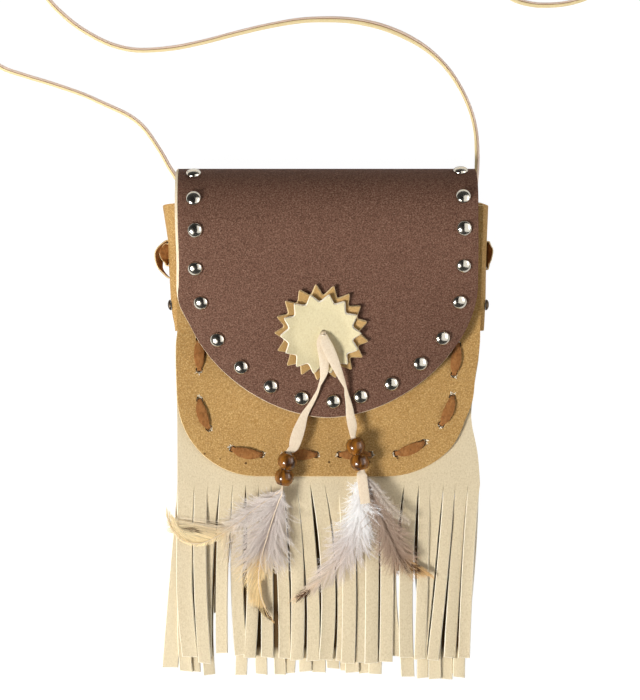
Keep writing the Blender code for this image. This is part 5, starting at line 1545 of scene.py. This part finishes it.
def gusset_place(side):
    def place(u, v):
        middle, out, half = gusset_section(side, v)
        if u < 0:
            x = side * (GUSSET_ROOT + u)
            return Vector((x, v, front_place(x, v).z - FLANGE_LIFT))
        if u > GUSSET_WALL:
            x = side * (GUSSET_ROOT - (u - GUSSET_WALL))
            return Vector((x, v, back_height(v) + SHEET + GAP))
        turn = math.pi * u / GUSSET_WALL
        return Vector((side * (GUSSET_ROOT + out * math.sin(turn)), v, middle + half * math.cos(turn)))

    return place


def flat_wedge(place):
    """The outline that a gusset has when it is unfolded, measured across its bent wall."""
    steps = 16
    edges = []
    for row in range(steps + 1):
        y = mix(GUSSET_END_Y, MOUTH_Y, row / steps)
        across = [place(mix(-GUSSET_FLANGE, GUSSET_WALL + GUSSET_FLANGE, step / steps), y)
                  for step in range(steps + 1)]
        edges.append((line_length(across) / 2, y))
    return [(-half, y) for half, y in edges] + [(half, y) for half, y in reversed(edges)]


def make_gusset(name, node, side):
    """A wall bent between front and back, with two holes for its short lace. side is -1 at the left."""
    place = gusset_place(side)
    outline = [(-GUSSET_FLANGE, GUSSET_END_Y), (GUSSET_WALL + GUSSET_FLANGE, GUSSET_END_Y),
               (GUSSET_WALL + GUSSET_FLANGE, MOUTH_Y), (GUSSET_WALL / 2, MOUTH_Y - 0.3 * MM),
               (GUSSET_WALL / 2 - 3 * MM, MOUTH_Y + 0.6 * MM), (-GUSSET_FLANGE, MOUTH_Y + 1.6 * MM)]
    holes = []
    for y in LOOP_HOLES_LEFT if side < 0 else LOOP_HOLES_RIGHT:
        stretch = GUSSET_WALL / (math.pi * gusset_section(side, y)[2])
        holes.append(circle((GUSSET_WALL / 2, y), PUNCH_RADIUS, 12, stretch))
    piece = cut_sheet(name, outline, holes, place, SHEET, GUSSET_NET, [TAN, TAN_EDGE_HIGHLIT, TAN],
                      lambda x, y: 0.25 * MM)
    face_outwards(piece)
    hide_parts(node)
    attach(piece, "pouch")
    declare_sheet(flat_wedge(place))


def make_rosette(name, node, pattern, level, materials, seed):
    """A star cut from sheet, with slightly rounded points that lift a little."""
    dice = random.Random(seed)
    centre = [value * MM for value in pattern["centre"]]
    corners = []
    for step in range(2 * pattern["points"]):
        angle = math.radians(pattern["start"]) + math.pi * step / pattern["points"] + dice.gauss(0.0, 0.014)
        radius = pattern["outer" if step % 2 == 0 else "valley"] * MM + dice.gauss(0.0, 0.22 * MM)
        corners.append(Vector((centre[0] + radius * math.cos(angle), centre[1] + radius * math.sin(angle))))
    outline = []
    for index, corner in enumerate(corners):
        before = corner.lerp(corners[index - 1], 0.2)
        after = corner.lerp(corners[(index + 1) % len(corners)], 0.2)
        for t in (0.0, 0.33, 0.67, 1.0):
            outline.append(tuple(before * (1 - t) ** 2 + corner * 2 * t * (1 - t) + after * t ** 2))
    ground = raised(flap_place, level * (SHEET + GAP))
    lifts = [dice.uniform(*pattern["lifts"]) * MM for _ in range(2 * pattern["points"])]

    def place(x, y):
        turn = (math.atan2(y - centre[1], x - centre[0]) - math.radians(pattern["start"])) % math.tau
        sector = turn / (math.pi / pattern["points"])
        low = int(sector) % len(lifts)
        lift = mix(lifts[low], lifts[(low + 1) % len(lifts)], smooth(sector - int(sector)))
        reach = math.hypot(x - centre[0], y - centre[1]) / (pattern["outer"] * MM)
        return ground(x, y) + Vector((0.0, 0.0, lift * smooth((reach - 0.6) / 0.4)))

    piece = cut_sheet(name, outline, [circle(LACE_EXIT, ROSETTE_HOLE, 12)], place, SHEET, ROSETTE_NET,
                      materials, lambda x, y: 0.32 * MM, ROSETTE_EDGE_NET)
    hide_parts(node)
    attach(piece, "flap_body")


# Fringe
def quadratic(start, middle, end, middle_share, share):
    """The curve through three values, the middle one at its own share of the way."""
    return (start * (share - middle_share) * (share - 1.0) / middle_share
            + middle * share * (share - 1.0) / (middle_share * (middle_share - 1.0))
            + end * share * (share - middle_share) / (1.0 - middle_share))


def strand_point(number, strand, cuts, level, share, across, layer):
    """A point of a strand: share runs down it, across from -1 to 1 and layer is its upper or lower face."""
    middle_x, tip_x, tip_y, height, roll = strand
    left = cuts[number] * MM
    right = cuts[number + 1] * MM
    half = (right - left) / 2 - CUT_WIDTH * smooth(share / 0.05)
    length = CUT_LINE - tip_y * MM
    middle_share = min((CUT_LINE - MIDDLE_Y) / length, 0.85)
    x = quadratic((left + right) / 2, middle_x * MM, tip_x * MM, middle_share, share)
    x += STRAND_BOWS.get((level, number), 0.0) * MM * math.sin(math.pi * min(1.0, share / 0.62))
    y = CUT_LINE - share * length
    band = back_height(CUT_LINE) + BACK_BAND_LIFT + level * BAND_STEP
    down = smooth(share / 0.25)
    wave = STRAND_WAVE * noise.noise(Vector((number * 7.3, share * 3.1, level * 5.0))) * smooth(share / 0.2)
    turn = math.radians(roll) * smooth((share - 0.08) / 0.6)
    z = mix(band, height * MM, down) + wave + abs(math.sin(turn)) * half * 0.8
    cup = STRAND_CUP * math.sin(2.0 * number + level) * smooth(share / 0.3) * (across ** 2 - 0.3)
    curl = TIP_CURL * smooth((share - 0.9) / 0.1) * noise.noise(Vector((number * 3.7, level * 9.0, 0.0)))
    y += across * TIP_SLANT * math.sin(5.0 * number) * share
    spot = Vector((x + across * half * math.cos(turn), y, z + across * half * math.sin(turn) + cup + curl))
    normal = Vector((-math.sin(turn), 0.0, math.cos(turn)))
    spot += normal * layer * FRINGE_SHEET / 2
    if layer > 0 and abs(across) > 0.99:
        spot.x -= math.copysign(EDGE_SLANT * smooth(share / 0.1), across)
    if layer > 0 and share > 0.999:
        spot.y += EDGE_SLANT
    spot.z = max(spot.z, FLOOR_CLEARANCE)
    return spot


def make_fringe(name, node, level, strands, cuts):
    """A band that is cut into strands, in one closed sheet."""
    vertices = []
    seen = {}
    faces = []
    slots = []
    last_row = BAND_ROWS + STRAND_ROWS

    def at(row, number, column, layer):
        """The vertex at a row of the sheet. Neighbouring strands share their edges above the cuts."""
        if row <= BAND_ROWS and column == STRAND_COLUMNS and number + 1 < len(strands):
            number, column = number + 1, 0
        key = (row, number, column, layer)
        if key in seen:
            return seen[key]
        seen[key] = len(vertices)
        if row <= BAND_ROWS:
            y = mix(BAND_TOP, CUT_LINE, row / BAND_ROWS)
            x = mix(cuts[number], cuts[number + 1], column / STRAND_COLUMNS) * MM
            z = back_height(y) + BACK_BAND_LIFT + level * BAND_STEP + layer * FRINGE_SHEET / 2
            vertices.append(Vector((x + side_shift(x, y), y, z)))
        else:
            share = (row - BAND_ROWS) / STRAND_ROWS
            across = 2.0 * column / STRAND_COLUMNS - 1.0
            vertices.append(strand_point(number, strands[number], cuts, level, share, across, layer))
        return seen[key]

    def wall(first, second):
        """A strip of the cut edge, between two neighbouring places of the rim."""
        faces.append((at(*first, 1), at(*first, -1), at(*second, -1), at(*second, 1)))
        slots.append(1)

    for number in range(len(strands)):
        for row in range(last_row):
            for column in range(STRAND_COLUMNS):
                corners = [(row, number, column), (row + 1, number, column),
                           (row + 1, number, column + 1), (row, number, column + 1)]
                faces.append(tuple(at(*corner, 1) for corner in corners))
                faces.append(tuple(at(*corner, -1) for corner in reversed(corners)))
                slots += [0, 0]
            if row >= BAND_ROWS or number == 0:
                wall((row, number, 0), (row + 1, number, 0))
            if row >= BAND_ROWS or number == len(strands) - 1:
                wall((row + 1, number, STRAND_COLUMNS), (row, number, STRAND_COLUMNS))
        for column in range(STRAND_COLUMNS):
            wall((0, number, column + 1), (0, number, column))
            wall((last_row, number, column), (last_row, number, column + 1))
    # The strands' cut edges are pale, partly painted highlight
    piece = add_piece(name, vertices, faces, [CREAM if level else UNDER_CREAM, CREAM_EDGE_HIGHLIT], slots, 35.0)
    face_outwards(piece)
    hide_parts(node)
    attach(piece, "pouch")
    low = sum(strand[2] for strand in strands) / len(strands) * MM
    corners = [(cuts[end] * MM, y) for end, y in ((0, BAND_TOP), (-1, BAND_TOP), (-1, low), (0, low))]
    declare_sheet(corners)


# Laces
def make_running_lace():
    """One lace in and out of the punched holes: over the front for each stitch, under it between."""
    places = []
    widths = []
    acrosses = []

    def add(spot, place, width, direction):
        places.append(place(*spot))
        widths.append(width)
        acrosses.append(Vector((-direction[1], direction[0], 0.0)))

    over = raised(front_place, OVER_LACE)
    under_front = raised(front_place, -OVER_LACE)

    def under(x, y):
        return Vector((x, y, UNDER_LACE_Z)) if y < BAND_TOP else under_front(x, y)

    def turn_through(hole, direction, going_up):
        depth = (over(*hole) - under(*hole)).length
        passing = [LACE_TURN, depth - LACE_TURN] if depth > 2.5 * LACE_TURN else [depth / 2]

        def inside_hole(down):
            return raised(front_place, OVER_LACE - down)

        stops = [(-LACE_TURN, over)] + [(0.0, inside_hole(down)) for down in passing] + [(LACE_TURN, under)]
        if going_up:
            stops = [(-ahead, place) for ahead, place in reversed(stops)]
        for ahead, place in stops:
            spot = (hole[0] + direction[0] * ahead, hole[1] + direction[1] * ahead)
            add(spot, place, LACE_NECK, direction)

    first, heading = STITCH_HOLES[0][0]
    add((first[0] - heading[0] * LACE_TAIL, first[1] - heading[1] * LACE_TAIL), under, LACE_NECK, heading)
    for number, (entry, leave) in enumerate(STITCH_HOLES):
        turn_through(*entry, going_up=True)
        for share, width in STITCH_PROFILE:
            reach = STITCH_SHARES[number] + (share - 0.5) * 2 * STITCH_HALF
            middle, heading = walk(STITCH_LINE, reach)
            bow = STITCH_BOW * math.sin(math.pi * share)
            add(middle, raised(front_place, OVER_LACE + bow), STITCH_WIDTH * width, heading)
        turn_through(*leave, going_up=False)
        if number + 1 < len(STITCH_HOLES):
            middle, heading = walk(STITCH_LINE, (STITCH_SHARES[number] + STITCH_SHARES[number + 1]) / 2)
            add(middle, under, LACE_NECK, heading)
    last, heading = STITCH_HOLES[-1][1]
    add((last[0] + heading[0] * LACE_TAIL, last[1] + heading[1] * LACE_TAIL), under, LACE_NECK, heading)
    steps = 4
    piece = ribbon("stitch_lace", denser(places, steps), denser(widths, steps), denser(acrosses, steps),
                   LACE_SHEET, [RUST], LACE_SECTION, lambda side, row: 0, 0.07)
    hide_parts("running_lace")
    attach(piece, "pouch")


def make_side_lace(name, node, side, bulge, lean, holes):
    """A short lace out through one hole of the gusset and back in through the other, leaning in between."""
    inner = SHEET + GAP + LACE_SHEET / 2 + LOOP_SLACK
    top_y, low_y = holes

    def spot(y, out):
        share = (y - low_y) / (top_y - low_y)
        height = gusset_section(side, low_y)[0] * (1 - share) + gusset_section(side, top_y)[0] * share
        return Vector((side * (gusset_reach(side, y) + out), y, height))

    middle_y = (top_y + low_y) / 2
    near = 0.18 * (top_y - low_y)
    half = 0.14 * (top_y - low_y)
    stops = [(top_y + 5 * MM, -inner, LACE_NECK, 0.0), (top_y + LACE_TURN, -inner, LACE_NECK, 0.0),
             (top_y, -SHEET, LACE_NECK, 0.1), (top_y, 0.6 * MM, LACE_NECK + 0.8 * MM, 0.5),
             (top_y - near, bulge * 0.65, LOOP_WIDTHS[0], 1.0), (middle_y + half, bulge, LOOP_WIDTHS[1], 1.0),
             (middle_y - half, bulge, LOOP_WIDTHS[2], 0.9), (low_y + near, bulge * 0.75, LOOP_WIDTHS[3], 0.5),
             (low_y, 0.6 * MM, LACE_NECK, 0.3), (low_y, -SHEET, LACE_NECK, 0.0),
             (low_y - LACE_TURN, -inner, LACE_NECK, 0.0), (low_y - 5 * MM, -inner, LACE_NECK, 0.0)]
    steps = 5
    places = denser([spot(y, out) for y, out, width, turn in stops], steps)
    widths = denser([width for y, out, width, turn in stops], steps)
    acrosses = [Vector((side * math.sin(lean * turn), 0.0, math.cos(lean * turn)))
                for turn in denser([turn for y, out, width, turn in stops], steps)]
    # The loop's cut edges are pale tan, partly painted highlight
    piece = ribbon(name, places, widths, acrosses, LACE_SHEET, [RUST, TAN_EDGE_HIGHLIT], SQUARE_SECTION,
                   pale_edges, 0.05)
    if node:
        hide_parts(node)
    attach(piece, "pouch")


# Studs
def make_stud(name, node, seat, normal, radius, height, body, material=NICKEL):
    """A domed stud that is turned down to a thin edge."""
    profile = [(0.0, height)]
    for step in range(1, 13):
        turn = math.radians(7.5 * step)
        profile.append((radius * math.sin(turn), STUD_EDGE + (height - STUD_EDGE) * math.cos(turn)))
    profile += [(radius, 0.0), (0.0, 0.0)]
    piece = turned(name, profile, 48, material, seat, normal)
    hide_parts(node)
    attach(piece, body)


def make_studs():
    line = flap_rim(STUD_INSET, FLAP_END - HINGE_GAP / 2, SOLID_FLAP_STEPS)
    for number, share in enumerate(STUD_SHARES):
        (x, v), _ = walk(line, share)
        across, down = STUD_NUDGES.get(number + 1, (0.0, 0.0))
        x, v = x + across * MM, v - down * MM
        normal = surface_normal(flap_place, x, v)
        seat = flap_place(x, v) + normal * (SHEET / 2 + GAP / 2)
        make_stud(f"dome_{number + 1:02d}", f"flap_stud_{number + 1:02d}", seat, normal,
                  STUD_RADIUS, STUD_HEIGHT, "flap_body")
    for label, side in (("left", -1), ("right", 1)):
        place = gusset_place(side)
        normal = surface_normal(place, GUSSET_WALL / 2, GUSSET_STUD_Y) * side
        seat = place(GUSSET_WALL / 2, GUSSET_STUD_Y) + normal * (SHEET / 2 + GUSSET_STUD_GAP / 2)
        make_stud(f"side_dome_{label}", f"gusset_stud_{label}", seat, normal,
                  GUSSET_STUD_RADIUS, GUSSET_STUD_HEIGHT, "pouch", SHADED_NICKEL)


def main():
    SCENE.view_settings.view_transform = "Standard"
    make_camera()
    make_strap()
    make_tassel("left", -1, LEFT_BEAD, LEFT_BEAD_AXIS, LEFT_LACE, LEFT_THREADING, (), LEFT_FEATHERS)
    make_tassel("right", 1, RIGHT_BEAD, RIGHT_BEAD_AXIS, RIGHT_LACE, RIGHT_THREADING, RIGHT_TAIL,
                RIGHT_FEATHERS)
    make_back_and_flap()
    prick_tan()
    paint_shade_under_fringe()
    make_front_panel()
    make_torn_lips()
    make_gusset("gusset_wall_left", "gusset_left", -1)
    make_gusset("gusset_wall_right", "gusset_right", 1)
    make_fringe("fringe_under", "fringe_back", 0, BACK_STRANDS, BACK_CUTS)
    make_fringe("fringe_over", "fringe_front", 1, FRONT_STRANDS, FRONT_CUTS)
    make_running_lace()
    make_side_lace("loop_left", "side_lace_left", -1, LOOP_BULGE_LEFT, 0.7, LOOP_HOLES_LEFT)
    make_side_lace("loop_left_inner", None, -1, INNER_LOOP_BULGE, 1.25, INNER_LOOP_HOLES)
    make_side_lace("loop_right", "side_lace_right", 1, LOOP_BULGE_RIGHT, 0.6, LOOP_HOLES_RIGHT)
    # The rosettes' cut edges are pale, partly painted highlight
    make_rosette("star_tan", "rosette_back", ROSETTE_BACK, 1, [ROSETTE_TAN, TAN_EDGE_HIGHLIT, ROSETTE_TAN],
                 3)
    make_rosette("star_cream", "rosette_front", ROSETTE_FRONT, 2, [ROSETTE_CREAM, CREAM_EDGE_HIGHLIT, ROSETTE_CREAM],
                 4)
    make_studs()
    make_lights()
    make_world()
    make_floor()


main()
